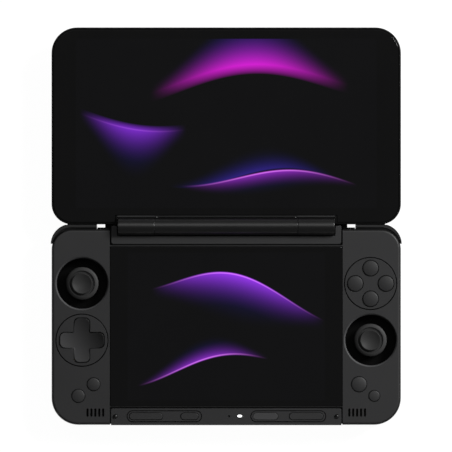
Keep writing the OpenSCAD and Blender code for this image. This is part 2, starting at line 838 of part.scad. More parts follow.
module hinge_cartridges() color(steel) {
    for (side = [left, right]) mirror([side < 0 ? 1 : 0, 0, 0]) {
        x0 = barrel_len / 2 - cartridge_end - cartridge_len;
        difference() {
            rod_x(x0, x0 + cartridge_len, 0, hinge_z, cartridge_r);
            rod_x(x0 - eps, x0 + cartridge_len + eps, 0, hinge_z, shaft_r + run_gap);
        }
    }
}

module hinge_shafts() color(steel) {
    for (side = [left, right]) mirror([side < 0 ? 1 : 0, 0, 0])
        rod_x(lid_barrel_len / 2 - shaft_depth, barrel_len / 2 - cartridge_end - part_gap, 0, hinge_z,
            shaft_r);
}

module lid_hinge_barrel() color(shell_grey) {
    half = lid_barrel_len / 2 - web_inset;
    difference() {
        union() {
            rod_x(-lid_barrel_len / 2, lid_barrel_len / 2, 0, hinge_z, lid_barrel_r);
            box(-half, half, web_front_y, web_y, web_z[0], hinge_z - lid_barrel_r / 2);
            box(-half, half, web_front_y, web_foot_y, web_z[0], web_z[1]);
        }
        for (side = [-1, 1]) mirror([side < 0 ? 1 : 0, 0, 0]) {
            rod_x(lid_barrel_len / 2 - shaft_depth - seat_gap, lid_barrel_len / 2 + eps, 0, hinge_z,
                shaft_r + seat_gap);
            for (x = barrel_screw_x)
                rod(x, barrel_screw_y, web_z[0] - eps, web_z[1] + eps, barrel_screw_r + seat_gap);
        }
    }
}

module barrel_screws() color(steel) {
    for (side = [-1, 1], x = barrel_screw_x) {
        rod(side * x, barrel_screw_y, lid_back_z + lid_back_t, web_z[1] + eps, barrel_screw_r);
        rod(side * x, barrel_screw_y, web_z[1], web_z[1] + barrel_screw_head[1], barrel_screw_head[0]);
    }
}

// Plan of the lid, drawn in from its edge, with the notch for the barrel
module lid_block(inset, notch_y, z0, z1) {
    difference() {
        block(body_w - 2 * inset, lid_near + inset, reach - inset, z0, z1, hinge_side_r - inset,
            lid_r - inset);
        lid_notch(notch_y + inset, inset, z0 - eps, z1 + eps);
    }
}

module lid_notch(notch_y, grow, z0, z1) {
    half = barrel_len / 2 + part_gap + grow;
    box(-half, half, lid_near - wall, notch_y, z0, z1);
}

module lid_back_cover() color(shell_grey) {
    shell_notch = knuckle_r + part_gap;
    difference() {
        soft_slab(body_w, lid_near, reach, lid_back_z, frame_z, hinge_side_r, lid_r, lid_edge_r, 0);
        lid_notch(shell_notch, 0, lid_back_z - eps, frame_z + eps);
        difference() {
            block(body_w - 2 * wall, lid_near + wall, reach - wall, lid_back_z + lid_back_t, frame_z + eps,
                hinge_side_r - wall, lid_r - wall);
            lid_notch(shell_notch + wall, wall, lid_back_z, frame_z + 2 * eps);
            barrel_pads();
        }
        box(-lid_barrel_len / 2 + web_inset - seat_gap, lid_barrel_len / 2 - web_inset + seat_gap,
            shell_notch - eps, shell_notch + wall + eps, web_z[0] - seat_gap, frame_z + eps);
        for (side = [-1, 1], x = barrel_screw_x)
            rod(side * x, barrel_screw_y, lid_back_z + lid_back_t, web_z[0] + eps, barrel_screw_r + seat_gap);
    }
    // Lips under the end knuckles, which close the slit between them and the notch
    for (side = [-1, 1]) mirror([side < 0 ? 1 : 0, 0, 0])
        box(lid_barrel_len / 2 - web_inset + 2 * seat_gap, barrel_len / 2 + part_gap + eps, notch_lip_y,
            shell_notch + eps, notch_lip_z, frame_z);
}

// Raised pad in the back cover that the barrel's foot is screwed to
module barrel_pads() {
    half = lid_barrel_len / 2 - web_inset;
    box(-half, half, knuckle_r + part_gap, web_foot_y, lid_back_z + lid_back_t - eps, web_z[0]);
}

module lid_front_frame() color(shell_grey) {
    notch_y = knuckle_r + notch_gap;
    module_half = upper_w / 2 + module_rim + module_gap;
    difference() {
        soft_slab(body_w, lid_near, reach, frame_z, deck_z, hinge_side_r, lid_r, 0, rim_w / 2);
        lid_notch(notch_y, 0, frame_z - eps, deck_z + eps);
        // Pocket for the glass
        lid_block(rim_w - seat_gap, notch_y + notch_rim - rim_w, glass_z, deck_z + eps);
        // Window for the display module
        box(-module_half, module_half, upper_y - module_rim - module_gap,
            upper_y + upper_h + module_rim + module_gap, frame_z - eps, deck_z);
    }
}

module lid_glass() color(glass_black)
    lid_block(rim_w + part_gap / 2, knuckle_r + notch_gap + notch_rim - rim_w, glass_z, glass_z + glass_t);

module upper_display_panel() color(panel_violet) {
    half = upper_w / 2 + module_rim;
    box(-half, half, upper_y - module_rim, upper_y + upper_h + module_rim, glass_z - module_t, glass_z);
}

module lid_magnets() color(steel) {
    for (side = [-1, 1])
        translate([side * (body_w / 2 - wall - magnet[0]), reach - lid_r - magnet[1] / 2,
            lid_back_z + lid_back_t + magnet[2] / 2])
            cube(magnet, center = true);
}

// Wells and gimbals of the sticks
function stick_spot(side) = [side * control_x, side == left ? -rear_row : -front_row];

module stick_wells() color(rubber_black) {
    for (side = [left, right]) translate([stick_spot(side)[0], stick_spot(side)[1], 0]) difference() {
        rod(0, 0, well_floor_z, deck_z, well_r + well_wall);
        rod(0, 0, well_floor_top, deck_z + eps, well_r);
        rod(0, 0, well_floor_z - eps, well_floor_z + 2 * well_floor_t, well_hole_r);
    }
}

module stick_module(side) color(steel) {
    outer = gimbal_in + gimbal_wall;
    translate([stick_spot(side)[0], stick_spot(side)[1], 0]) difference() {
        union() {
            box(-outer, outer, -outer, outer, floor_z, gimbal_top);
            for (x = [-1, 1], y = [-1, 1])
                rod(x * (outer + gimbal_post_out), y * (outer + gimbal_post_out), floor_z, well_floor_z,
                    boss_r);
        }
        box(-gimbal_in, gimbal_in, -gimbal_in, gimbal_in, floor_z + gimbal_wall / 2, gimbal_top + eps);
        rod_x(-outer - eps, outer + eps, 0, pivot_z, yoke_pin_r + run_gap);
    }
}
module left_stick_module() stick_module(left);
module right_stick_module() stick_module(right);

module stick_yoke(side) color(board_green) {
    translate([stick_spot(side)[0], stick_spot(side)[1], 0]) difference() {
        union() {
            intersection() {
                box(-ring_out, ring_out, -ring_out, ring_out, pivot_z - ring_half, pivot_z + ring_half);
                rod(0, 0, pivot_z - ring_half, pivot_z + ring_half, well_hole_r - part_gap);
            }
            rod_x(-gimbal_in - gimbal_wall, gimbal_in + gimbal_wall, 0, pivot_z, yoke_pin_r);
        }
        box(-ring_in, ring_in, -ring_in, ring_in, pivot_z - 2 * ring_half, pivot_z + 2 * ring_half);
        rod_y(-ring_out - eps, ring_out + eps, 0, pivot_z, stem_pin_r + run_gap);
    }
}
module left_stick_yoke() stick_yoke(left);
module right_stick_yoke() stick_yoke(right);

module stick_stem(side) color(lens_white) {
    translate([stick_spot(side)[0], stick_spot(side)[1], 0]) {
        box(-hub_half, hub_half, -hub_half, hub_half, pivot_z - hub_up, pivot_z + hub_up);
        rod_y(-ring_out, ring_out, 0, pivot_z, stem_pin_r);
        rod(0, 0, pivot_z, cap_z - cap_disc_up - cap_t - eps, stem_r);
    }
}
module left_stick_stem() stick_stem(left);
module right_stick_stem() stick_stem(right);

module stick_cap(side) color(cap_grey) {
    disc_z = cap_z;
    ring_z = cap_z - cap_disc_up;
    under_z = ring_z - cap_t;
    translate([stick_spot(side)[0], stick_spot(side)[1], 0]) difference() {
        union() {
            rod(0, 0, neck_z, under_z + cap_t / 2, neck_r);
            translate([0, 0, under_z]) rotate_extrude() edge_section(cap_r, cap_t, cap_edge_r, cap_edge_r);
            rod(0, 0, under_z + cap_t / 2, disc_z, cap_disc_r);
        }
        rod(0, 0, neck_z - eps, under_z + stick_click + seat_gap, stem_r + run_gap);
        difference() {
            rod(0, 0, ring_z - cap_disc_up, disc_z + eps, cap_disc_r + cap_groove);
            rod(0, 0, under_z, disc_z + cap_t, cap_disc_r);
        }
        translate([0, 0, disc_z + cap_dish_r - cap_disc_up]) sphere(cap_dish_r);
    }
}
module left_stick_cap() stick_cap(left);
module right_stick_cap() stick_cap(right);

// Cross pad, its disc and its gimbal
module pad_outline(grow) {
    for (turn = [0, 90]) rotate(turn)
        round_plan(pad_span + 2 * grow, -pad_arm / 2 - grow, pad_arm / 2 + grow, pad_corner_r, pad_corner_r);
}

module disc_plate() {
    rod(0, 0, plate_z - disc_drop, deck_z - disc_drop, disc_r);
    rod(0, 0, plate_z - flange_t - disc_drop, plate_z - disc_drop + eps, disc_flange_r);
}

module dpad_disc() color(shell_grey) {
    leg = disc_r - post_in;
    translate([-control_x, -front_row, 0]) {
        difference() {
            disc_plate();
            translate([0, 0, plate_z - plate_t]) linear_extrude(3 * plate_t) pad_outline(part_gap);
        }
        // Legs and bridge under the disc carry the gimbal's ears
        for (turn = [45, 135]) rotate(turn) {
            box(-leg, leg, -post_r, post_r, board_top_z, board_top_z + flange_t);
            for (side = [-1, 1]) rod(side * leg, 0, board_top_z, plate_z - flange_t, post_r);
        }
        for (side = [-1, 1]) translate([side * (pad_ear_x + pad_ear[1] / 2), 0, 0]) difference() {
            box(-pad_ear[1] / 2, pad_ear[1] / 2, -pad_ear[0] / 2, pad_ear[0] / 2, board_top_z,
                pad_pivot_z + pad_ear[0] / 2 - pad_ear_trim);
            rod_x(-pad_ear[1], pad_ear[1], 0, pad_pivot_z, stem_pin_r + run_gap);
        }
    }
}

module dpad_spider() color(steel) {
    half = pad_ear_x + pad_ear[1];
    translate([-control_x, -front_row, 0]) {
        rod_x(-half, half, 0, pad_pivot_z, stem_pin_r);
        rod_y(-half, half, 0, pad_pivot_z, stem_pin_r);
        translate([0, 0, pad_pivot_z]) cube(pad_core, center = true);
    }
}

module dpad() color(button_grey) {
    translate([-control_x, -front_row, 0]) {
        difference() {
            translate([0, 0, plate_z - disc_drop - pad_under])
                linear_extrude(plate_t + disc_drop + pad_under + pad_proud) pad_outline(0);
            translate([0, 0, deck_z + pad_proud + pad_dish_r - pad_dish]) sphere(pad_dish_r);
        }
        for (turn = [0:90:270]) rotate(turn)
            rod(pusher_x, 0, board_top_z + dome_t + pusher_gap, plate_z, stub_r);
        for (side = [-1, 1]) translate([0, side * (pad_ear_x + pad_ear[1] / 2), 0]) difference() {
            box(-pad_ear[0] / 2, pad_ear[0] / 2, -pad_ear[1] / 2, pad_ear[1] / 2,
                pad_pivot_z - pad_ear_under, plate_z);
            rod_y(-pad_ear[1], pad_ear[1], 0, pad_pivot_z, stem_pin_r + run_gap);
        }
    }
}

module face_button_disc() color(shell_grey) {
    translate([control_x, -rear_row, 0]) difference() {
        disc_plate();
        for (turn = [0:90:270]) rotate(turn)
            rod(face_offset, 0, plate_z - plate_t, deck_z + plate_t, face_r + button_gap);
    }
}

// Round button: head through the plate, flange under it, stub over its switch dome
module round_button(x, y, r, up, travel, flange_z, dome_r) {
    top = deck_z + up;
    translate([x, y, 0]) {
        intersection() {
            rod(0, 0, flange_z - flange_t / 2, top, r);
            translate([0, 0, top - dome_r]) sphere(dome_r);
        }
        rod(0, 0, flange_z - flange_t, flange_z, r + flange_w);
        rod(0, 0, board_top_z + dome_t + travel + stub_gap, flange_z - flange_t / 2, stub_r);
    }
}

module face_button(turn) color(button_grey)
    round_button(control_x + face_offset * cos(turn), -rear_row + face_offset * sin(turn), face_r, face_proud,
        face_travel, plate_z - flange_t - disc_drop - part_gap, dome_button_r);
module face_button_north() face_button(90);
module face_button_east() face_button(0);
module face_button_south() face_button(-90);
module face_button_west() face_button(180);

module small_button(i) color(button_grey)
    round_button(small_spots[i][0], small_spots[i][1], small_spots[i][2], small_proud, small_travel,
        plate_z - part_gap, dome_button_r);
module left_upper_small_button() small_button(0);
module left_lower_small_button() small_button(1);
module right_upper_small_button() small_button(2);
module right_lower_small_button() small_button(3);

// Strip buttons
module strip_button(i, up) color(i == 2 ? button_grey : shell_grey) {
    pill_block(strip_button_x[i], strip_y, plate_z - part_gap - flange_t / 2, deck_z + up,
        strip_button_len[i], strip_button_w);
    pill_block(strip_button_x[i], strip_y, plate_z - part_gap - flange_t, plate_z - part_gap,
        strip_button_len[i] + 2 * flange_w, strip_button_w + 2 * flange_w);
}

// Rib under the rocker, with a round foot that it tips over, and a stub at each end
module volume_rocker() {
    x = strip_button_x[0];
    half = strip_button_w / 2;
    strip_button(0, strip_proud);
    for (side = [-1, 1]) strip_stub(x + side * rocker_stub_x);
    color(shell_grey) {
        rod_y(strip_y - half, strip_y + half, x, rocker_z, rocker_foot_r);
        box(x - rocker_foot_r, x + rocker_foot_r, strip_y - half, strip_y + half, rocker_z,
            plate_z - flange_t);
    }
}
module strip_stub(x) color(shell_grey)
    rod(x, strip_y, strip_board_z + dome_t + strip_travel + stub_gap, plate_z - flange_t, stub_r / 2);

module plain_strip_button(i, up) {
    strip_button(i, up);
    strip_stub(strip_button_x[i]);
}
module left_strip_button() plain_strip_button(1, strip_proud);
module fingerprint_button() plain_strip_button(2, strip_proud / 3);
module right_strip_button() plain_strip_button(3, strip_proud);

// Boards under the controls
module control_boards() color(board_green) {
    x0 = column_pocket_w / 2 + wall + board_inset;
    x1 = body_w / 2 - board_side;
    well_edge = well_r + well_wall + part_gap;
    z0 = board_top_z - board_t;
    difference() {
        union() {
            mirror([1, 0, 0]) box(x0, x1, board_front_y, -rear_row - well_edge, z0, board_top_z);
            box(x0, x1, -front_row + well_edge, -rear_row + disc_flange_r, z0, board_top_z);
            box(x0, x1, board_front_y, -front_row - well_edge, z0, board_top_z);
        }
        for (side = [left, right], spot = screw_spots)
            rod(side * spot[0], spot[1], board_top_z - 2 * board_t, board_top_z + eps, boss_r + part_gap);
    }
    box(-strip_board[0], strip_board[0], strip_y - strip_board[1] / 2, strip_y + strip_board[1] / 2,
        strip_board_z - board_t, strip_board_z);
}

module dome(x, y, z) rod(x, y, z, z + dome_t, dome_r);

module button_domes() color(lens_white) {
    for (turn = [0:90:270]) {
        dome(control_x + face_offset * cos(turn), -rear_row + face_offset * sin(turn), board_top_z);
        dome(-control_x + pusher_x * cos(turn), -front_row + pusher_x * sin(turn), board_top_z);
    }
    for (spot = small_spots) dome(spot[0], spot[1], board_top_z);
    for (i = [1:3]) dome(strip_button_x[i], strip_y, strip_board_z);
    for (side = [-1, 1]) dome(strip_button_x[0] + side * rocker_stub_x, strip_y, strip_board_z);
}

module speakers() color(rubber_black) {
    for (side = [left, right])
        translate([side * speaker_x, (slot_y[0] + slot_y[1]) / 2, plate_z - speaker[2] / 2])
            cube(speaker, center = true);
}

module feet() color(rubber_black) {
    for (side = [-1, 1], spot = [[body_w / 2 - foot_inset, front_y + foot_front], [rear_foot_x, 0]])
        pill_block(side * spot[0], spot[1], 0, foot_h, foot_len, foot_w);
}

module case_screws() color(steel) {
    for (side = [left, right], spot = screw_spots) difference() {
        union() {
            rod(side * spot[0], spot[1], foot_h + part_gap, foot_h + screw_head_t + part_gap, screw_head_r);
            rod(side * spot[0], spot[1], foot_h + screw_head_t, screw_top_z, screw_r);
        }
        rod(side * spot[0], spot[1], foot_h, foot_h + screw_head_t, screw_r);
    }
}

module shoulder_pins() color(steel) {
    for (side = [left, right]) {
        rod(side * bumper_pin[0], bumper_pin[1], shelf_z, plate_z + plate_t / 2 - seat_gap, pin_r);
        mirror([side < 0 ? 1 : 0, 0, 0])
            rod_x(pocket_x - pocket_wall, pocket_x + trigger_w + 2 * part_gap + lug_t, trigger_pivot[0],
                trigger_pivot[1], pin_r);
    }
}

// Outline of a bumper seen from above, on the right side
module bumper_outline() {
    intersection() {
        round_plan(body_w + 2 * bumper_proud, front_y, bumper_y + bumper_corner_drop, front_r, hinge_side_r);
        union() {
            translate([bumper_x, bumper_back_y])
                square([body_w / 2 - bumper_x + wall, bumper_y - bumper_back_y]);
            translate([body_w / 2 - bumper_side_t, bumper_end_y])
                square([bumper_side_t + wall, bumper_y - bumper_end_y]);
        }
    }
}

module bumper(side) color(shell_grey) {
    mirror([side < 0 ? 1 : 0, 0, 0]) difference() {
        union() {
            translate([0, 0, bumper_z]) linear_extrude(plate_z - part_gap - bumper_z) bumper_outline();
            translate([0, 0, bumper_z]) linear_extrude(deck_z - bumper_drop - bumper_z) difference() {
                bumper_outline();
                round_plan(body_w + 2 * bumper_side_slit, front_y, deck_rear_y + bumper_slit,
                    front_r, hinge_side_r);
            }
        }
        rod(bumper_pin[0], bumper_pin[1], bumper_z - eps, deck_z, pin_r + run_gap);
    }
}
module left_bumper() bumper(left);
module right_bumper() bumper(right);

module trigger(side) color(shell_grey) {
    x0 = pocket_x + part_gap;
    x1 = x0 + trigger_w;
    mirror([side < 0 ? 1 : 0, 0, 0]) difference() {
        union() {
            rod_x(x0, x1, trigger_pivot[0], trigger_pivot[1], trigger_arm_r);
            box(x0, x1, trigger_pivot[0], trigger_y - trigger_face_t / 2, trigger_pivot[1] - trigger_arm_r,
                trigger_pivot[1] + trigger_arm_r);
            intersection() {
                block(2 * (x1 + trigger_side), trigger_y - 3 * trigger_r, trigger_y, trigger_z,
                    trigger_top_z, trigger_r, trigger_r);
                box(x0, x1 + trigger_side, trigger_y - trigger_face_t, trigger_y, trigger_z, trigger_top_z);
            }
        }
        rod_x(x0 - eps, x1 + eps, trigger_pivot[0], trigger_pivot[1], pin_r + run_gap);
    }
}
module left_trigger() trigger(left);
module right_trigger() trigger(right);

// Parts on the floor of the base
module mainboard() color(board_green) {
    top = board_z + board_t;
    translate([board_x, board_y, 0]) {
        box(-board_size[0] / 2, board_size[0] / 2, -board_size[1] / 2, board_size[1] / 2, board_z, top);
        for (spot = concat([[0, chip_y, chip[0], chip[1]]], small_chips))
            translate([spot[0], spot[1], top])
                box(-spot[2] / 2, spot[2] / 2, -spot[3] / 2, spot[3] / 2, -eps, chip[2]);
    }
}

module battery_pack() color(battery_grey)
    box(-battery_half, battery_half, front_y + battery_front, battery_rear_y, floor_z, floor_z + battery_h);

module heat_sink() color(copper) {
    fins_w = (fin_count - 1) * fin_pitch + fin_t;
    plate_bottom = board_z + board_t + chip[2];
    for (i = [0:fin_count - 1])
        translate([fan_x - fins_w / 2 + i * fin_pitch, 0, 0])
            box(0, fin_t, fin_y[0], fin_y[1], floor_z, fin_top_z);
    // The flat heat pipe runs along the top of the fins and turns forward over the processor
    box(board_x - pipe[0] / 2, fan_x + fins_w / 2, fan_y + fan_box[1] / 2 + part_gap, deck_rear_y - 2 * wall,
        fin_top_z - eps, fin_top_z + pipe[1]);
    translate([board_x, board_y + chip_y, 0]) {
        box(-chip[0] / 2, chip[0] / 2, -chip[1] / 2, chip[1] / 2, plate_bottom, plate_bottom + pipe[1]);
        box(-pipe[0] / 2, pipe[0] / 2, 0, pipe_y - board_y - chip_y, plate_bottom + pipe[1] / 4,
            fin_top_z + pipe[1]);
    }
}

module fan_housing() color(rubber_black) {
    top = floor_z + fan_box[2];
    translate([fan_x, fan_y, 0]) {
        difference() {
            box(-fan_box[0] / 2, fan_box[0] / 2, -fan_box[1] / 2, fan_box[1] / 2, floor_z, top);
            rod(0, 0, floor_z + fan_wall / 2, top - fan_wall / 2, fan_r + fan_gap);
            rod(0, 0, floor_z - eps, floor_z + fan_wall, fan_r - 3 * vent_w);
            box(-fan_r, fan_r, 0, fan_box[1], floor_z + fan_wall / 2, top - fan_wall / 2);
        }
        rod(0, 0, floor_z + fan_wall / 2 + fan_gap / 2, top - fan_wall / 4, fan_axle_r);
    }
}

module fan_rotor() color(rubber_black) {
    z0 = floor_z + fan_wall / 2 + fan_gap / 3;
    z1 = floor_z + fan_box[2] - fan_wall / 2 - fan_gap / 3;
    translate([fan_x, fan_y, 0]) difference() {
        union() {
            rod(0, 0, z0, z1, fan_hub_r);
            for (i = [0:fan_blades - 1]) rotate(i * 360 / fan_blades)
                box(fan_hub_r - blade_t, fan_r - blade_t / 2, -blade_t / 2, blade_t / 2, z0, z1);
        }
        rod(0, 0, z0 - eps, z1 + eps, fan_axle_r + run_gap);
    }
}

module usb_port() color(steel) {
    translate([port_x, hump_y - part_gap, board_z - port[2] / 2]) rotate([90, 0, 0]) {
        difference() {
            linear_extrude(port[1]) port_outline(0);
            translate([0, 0, -eps]) linear_extrude(port[1] - port_wall * 2) port_outline(-port_wall);
        }
        translate([0, 0, port_wall * 2]) linear_extrude(port[1] - port_wall * 3)
            square(port_tongue, center = true);
    }
}

base_bottom_shell();
deck();
rear_panel();
front_strip();
lower_glass();
lower_display_panel();
left_hinge_knuckle();
right_hinge_knuckle();
hinge_cartridges();
dpad_disc();
face_button_disc();
stick_wells();
left_stick_module();
right_stick_module();
mainboard();
battery_pack();
heat_sink();
fan_housing();
speakers();
control_boards();
button_domes();
usb_port();
feet();
case_screws();
rest_pads();
led_light_pipe();
shoulder_pins();
lid_back_cover();
lid_front_frame();
lid_glass();
upper_display_panel();
lid_hinge_barrel();
hinge_shafts();
barrel_screws();
lid_magnets();
left_stick_yoke();
left_stick_stem();
left_stick_cap();
right_stick_yoke();
right_stick_stem();
right_stick_cap();
dpad_spider();
dpad();
face_button_north();
face_button_east();
face_button_south();
face_button_west();
left_upper_small_button();
left_lower_small_button();
right_upper_small_button();
right_lower_small_button();
volume_rocker();
left_strip_button();
fingerprint_button();
right_strip_button();
left_bumper();
right_bumper();
left_trigger();
right_trigger();
fan_rotor();
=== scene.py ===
"""Looks of a clamshell handheld game console, opened flat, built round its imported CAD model.

Sizes in the classes are millimetres in the shared frame: X to the right, Y away from the player,
Z up, with the origin on the table under the hinge axis. Meshes are scaled to metres once.
"""

import json
import logging
import math
from collections.abc import Callable, Mapping, Sequence
from dataclasses import dataclass, field
from enum import Enum
from typing import Any

import bmesh
import bpy
from mathutils import Matrix, Vector

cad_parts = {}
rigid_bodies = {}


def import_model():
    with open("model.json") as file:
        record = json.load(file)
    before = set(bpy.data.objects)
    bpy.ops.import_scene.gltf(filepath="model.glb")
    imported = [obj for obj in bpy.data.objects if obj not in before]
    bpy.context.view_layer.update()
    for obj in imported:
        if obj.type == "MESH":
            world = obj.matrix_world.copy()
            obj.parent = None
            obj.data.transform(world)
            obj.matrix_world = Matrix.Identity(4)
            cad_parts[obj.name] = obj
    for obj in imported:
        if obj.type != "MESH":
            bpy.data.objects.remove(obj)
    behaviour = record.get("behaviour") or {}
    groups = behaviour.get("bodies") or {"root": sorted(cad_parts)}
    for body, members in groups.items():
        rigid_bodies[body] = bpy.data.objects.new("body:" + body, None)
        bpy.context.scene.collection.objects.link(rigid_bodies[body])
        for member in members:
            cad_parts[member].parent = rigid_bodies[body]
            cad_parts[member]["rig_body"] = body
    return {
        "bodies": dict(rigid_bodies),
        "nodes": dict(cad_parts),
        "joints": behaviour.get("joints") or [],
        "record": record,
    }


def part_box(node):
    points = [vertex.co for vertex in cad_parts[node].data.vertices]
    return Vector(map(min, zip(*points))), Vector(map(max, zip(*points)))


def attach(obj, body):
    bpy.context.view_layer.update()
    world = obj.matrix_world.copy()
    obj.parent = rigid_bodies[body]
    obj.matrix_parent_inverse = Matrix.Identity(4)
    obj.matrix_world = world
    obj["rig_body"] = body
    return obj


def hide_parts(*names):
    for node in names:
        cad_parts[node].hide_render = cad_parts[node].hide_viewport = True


LOG = logging.getLogger("console")
MM = 0.001
DECK_Z = 19.0  # height of the deck's face above the table
MERGE = 1e-4  # corners closer than this become one
CAD_MERGE = 1e-3  # the same for the corners of CAD meshes
CAD_FLAT = 0.6  # degrees below which two CAD faces become one
NEAR = 2e-3  # tolerance on the place of a corner
WHITE = (1.0, 1.0, 1.0, 1.0)

Pair = tuple[float, float]
Colour = tuple[float, ...]
Link = bpy.types.NodeSocket
Shape = bmesh.types.BMesh
Edge = bmesh.types.BMEdge


class Side(Enum):
    """Which half of a mirrored pair a piece belongs to."""

    LEFT = -1
    RIGHT = 1

    @property
    def word(self) -> str:
        """The side's name as the CAD nodes spell it."""
        return self.name.lower()


class Slot(Enum):
    """Material slots of the record, passed along with the pieces but not given to them."""

    SHELL = "shell_plastic"
    LID_SHELL = "lid_shell_plastic"
    BUTTON = "button_plastic"
    STICK = "stick_rubber"
    SOFT = "soft_rubber"
    GLASS = "cover_glass"
    INNER = "inner_plastic"
    SENSOR = "sensor_pad"


def linear(level: float) -> float:
    """Turns an 8-bit display level into a linear value."""
    share = level / 255
    return share / 12.92 if share <= 0.04045 else ((share + 0.055) / 1.055) ** 2.4


def shade(*levels: float) -> Colour:
    """Turns 8-bit display levels into a linear colour.

    Args:
        levels: Red, green and blue, or one level of grey.

    Returns:
        Linear red, green, blue and an alpha of 1.
    """
    return (*(linear(level) for level in (levels * 3)[:3]), 1.0)


def plain(tone: float, blue: float | None = None) -> Colour:
    """Gives the grey of a linear tone, with a blue level of its own if one is given."""
    return (tone, tone, tone if blue is None else blue, 1.0)


class Web:
    """A node tree that is filled from Python."""

    def __init__(self, tree: bpy.types.NodeTree) -> None:
        """Keeps the tree and empties it."""
        self.tree = tree
        tree.nodes.clear()

    def node(
        self,
        kind: str,
        settings: Mapping[str, Any] | None = None,
        sockets: Mapping[str | int, Any] | None = None,
    ) -> bpy.types.Node:
        """Adds one node.

        Args:
            kind: Blender's name of the node type.
            settings: The node's properties.
            sockets: Values or links for its inputs, by name or number.

        Returns:
            The new node.
        """
        made = self.tree.nodes.new(kind)
        for key, value in (settings or {}).items():
            setattr(made, key, value)
        for key, value in (sockets or {}).items():
            self.feed(made.inputs[key], value)
        return made

    def feed(self, socket: Link, value: Any) -> None:
        """Links a signal or an output to an input, or sets the input's own value."""
        if isinstance(value, Signal):
            value = value.socket
        if isinstance(value, Link):
            self.tree.links.new(value, socket)
        else:
            socket.default_value = value[:3] if socket.type == "VECTOR" else value

    def mix(self, share: Any, low: Any, high: Any) -> Link:
        """Blends two colours by a share."""
        node = self.node("ShaderNodeMix", {"data_type": "RGBA"}, {0: share, 6: low, 7: high})
        return node.outputs[2]

    def scaled(self, colour: Any, amount: Any) -> Link:
        """Multiplies a colour by a number."""
        node = self.node("ShaderNodeVectorMath", {"operation": "SCALE"}, {0: colour, 3: amount})
        return node.outputs[0]

    def summed(self, one: Any, other: Any) -> Link:
        """Adds two colours."""
        node = self.node("ShaderNodeVectorMath", {"operation": "ADD"}, {0: one, 1: other})
        return node.outputs[0]

    def place(self) -> tuple["Signal", "Signal", "Signal"]:
        """Gives a point's X, Y and Z in the shared frame at rest, in millimetres."""
        split = self.node("ShaderNodeSeparateXYZ", sockets={0: self.object_point()})
        return tuple(Signal(self, out) / MM for out in split.outputs)

    def object_point(self) -> Link:
        """Gives a point's object coordinates."""
        return self.node("ShaderNodeTexCoord").outputs["Object"]

    def noise(
        self, grain: float, detail: float = 2.0, stretch: tuple[float, float, float] = (1, 1, 1)
    ) -> "Signal":
        """Adds a noise pattern.

        Args:
            grain: Size of the pattern's features in millimetres.
            detail: How many finer layers it has.
            stretch: Factors on the three coordinates.

        Returns:
            The noise, from 0 to 1.
        """
        turn = self.node("ShaderNodeMapping", sockets={0: self.object_point(), 3: stretch})
        node = self.node(
            "ShaderNodeTexNoise",
            sockets={"Vector": turn.outputs[0], "Scale": 1 / (grain * MM), "Detail": detail},
        )
        return Signal(self, node.outputs[0])

    def bump(self, height: Any, depth: float) -> Link:
        """Turns a height into a normal, with the depth in millimetres."""
        sockets = {"Height": height, "Distance": depth * MM}
        return self.node("ShaderNodeBump", sockets=sockets).outputs[0]


@dataclass(frozen=True)
class Signal:
    """One number in a node tree, which Python's operators turn into Math nodes."""

    web: Web
    socket: Link

    def _math(self, operation: str, *values: Any) -> "Signal":
        """Adds one Math node on the values."""
        node = self.web.node("ShaderNodeMath", {"operation": operation}, dict(enumerate(values)))
        return Signal(self.web, node.outputs[0])

    def __add__(self, other: Any) -> "Signal":
        """Sum."""
        return self._math("ADD", self, other)

    __radd__ = __add__

    def __sub__(self, other: Any) -> "Signal":
        """Difference."""
        return self._math("SUBTRACT", self, other)

    def __rsub__(self, other: Any) -> "Signal":
        """Difference the other way round."""
        return self._math("SUBTRACT", other, self)

    def __mul__(self, other: Any) -> "Signal":
        """Product."""
        return self._math("MULTIPLY", self, other)

    __rmul__ = __mul__

    def __truediv__(self, other: Any) -> "Signal":
        """Quotient."""
        return self._math("DIVIDE", self, other)

    def __pow__(self, other: float) -> "Signal":
        """Power."""
        return self._math("POWER", self, other)

    def wave(self) -> "Signal":
        """Sine."""
        return self._math("SINE", self)

    def size(self) -> "Signal":
        """Value without its sign."""
        return self._math("ABSOLUTE", self)

    def over(self, edge: float) -> "Signal":
        """1 above the edge, else 0."""
        return self._math("GREATER_THAN", self, edge)

    def clipped(self) -> "Signal":
        """Value held between 0 and 1."""
        return self._math("MAXIMUM", self._math("MINIMUM", self, 1.0), 0.0)


class Finish:
    """A material that is made once and shared by its pieces.

    Attributes:
        name: The material's name.
    """

    name: str

    def material(self) -> bpy.types.Material:
        """Gives the Blender material, made on first use."""
        made = bpy.data.materials.get(self.name)
        if made is None:
            made = bpy.data.materials.new(self.name)
            made.use_nodes = True
            web = Web(made.node_tree)
            shader = web.node("ShaderNodeBsdfPrincipled", sockets=self.surface(web))
            web.node("ShaderNodeOutputMaterial", sockets={"Surface": shader.outputs[0]})
        return made

    def surface(self, web: Web) -> dict[str, Any]:
        """Gives the value or link of each socket of the finish's Principled shader."""
        raise NotImplementedError

    def tinted(self, web: Web, colour: Link) -> Link:
        """Gives the colour as it is. Finishes with painted light or shade, or a second tone, change
        it here.
        """
        return colour


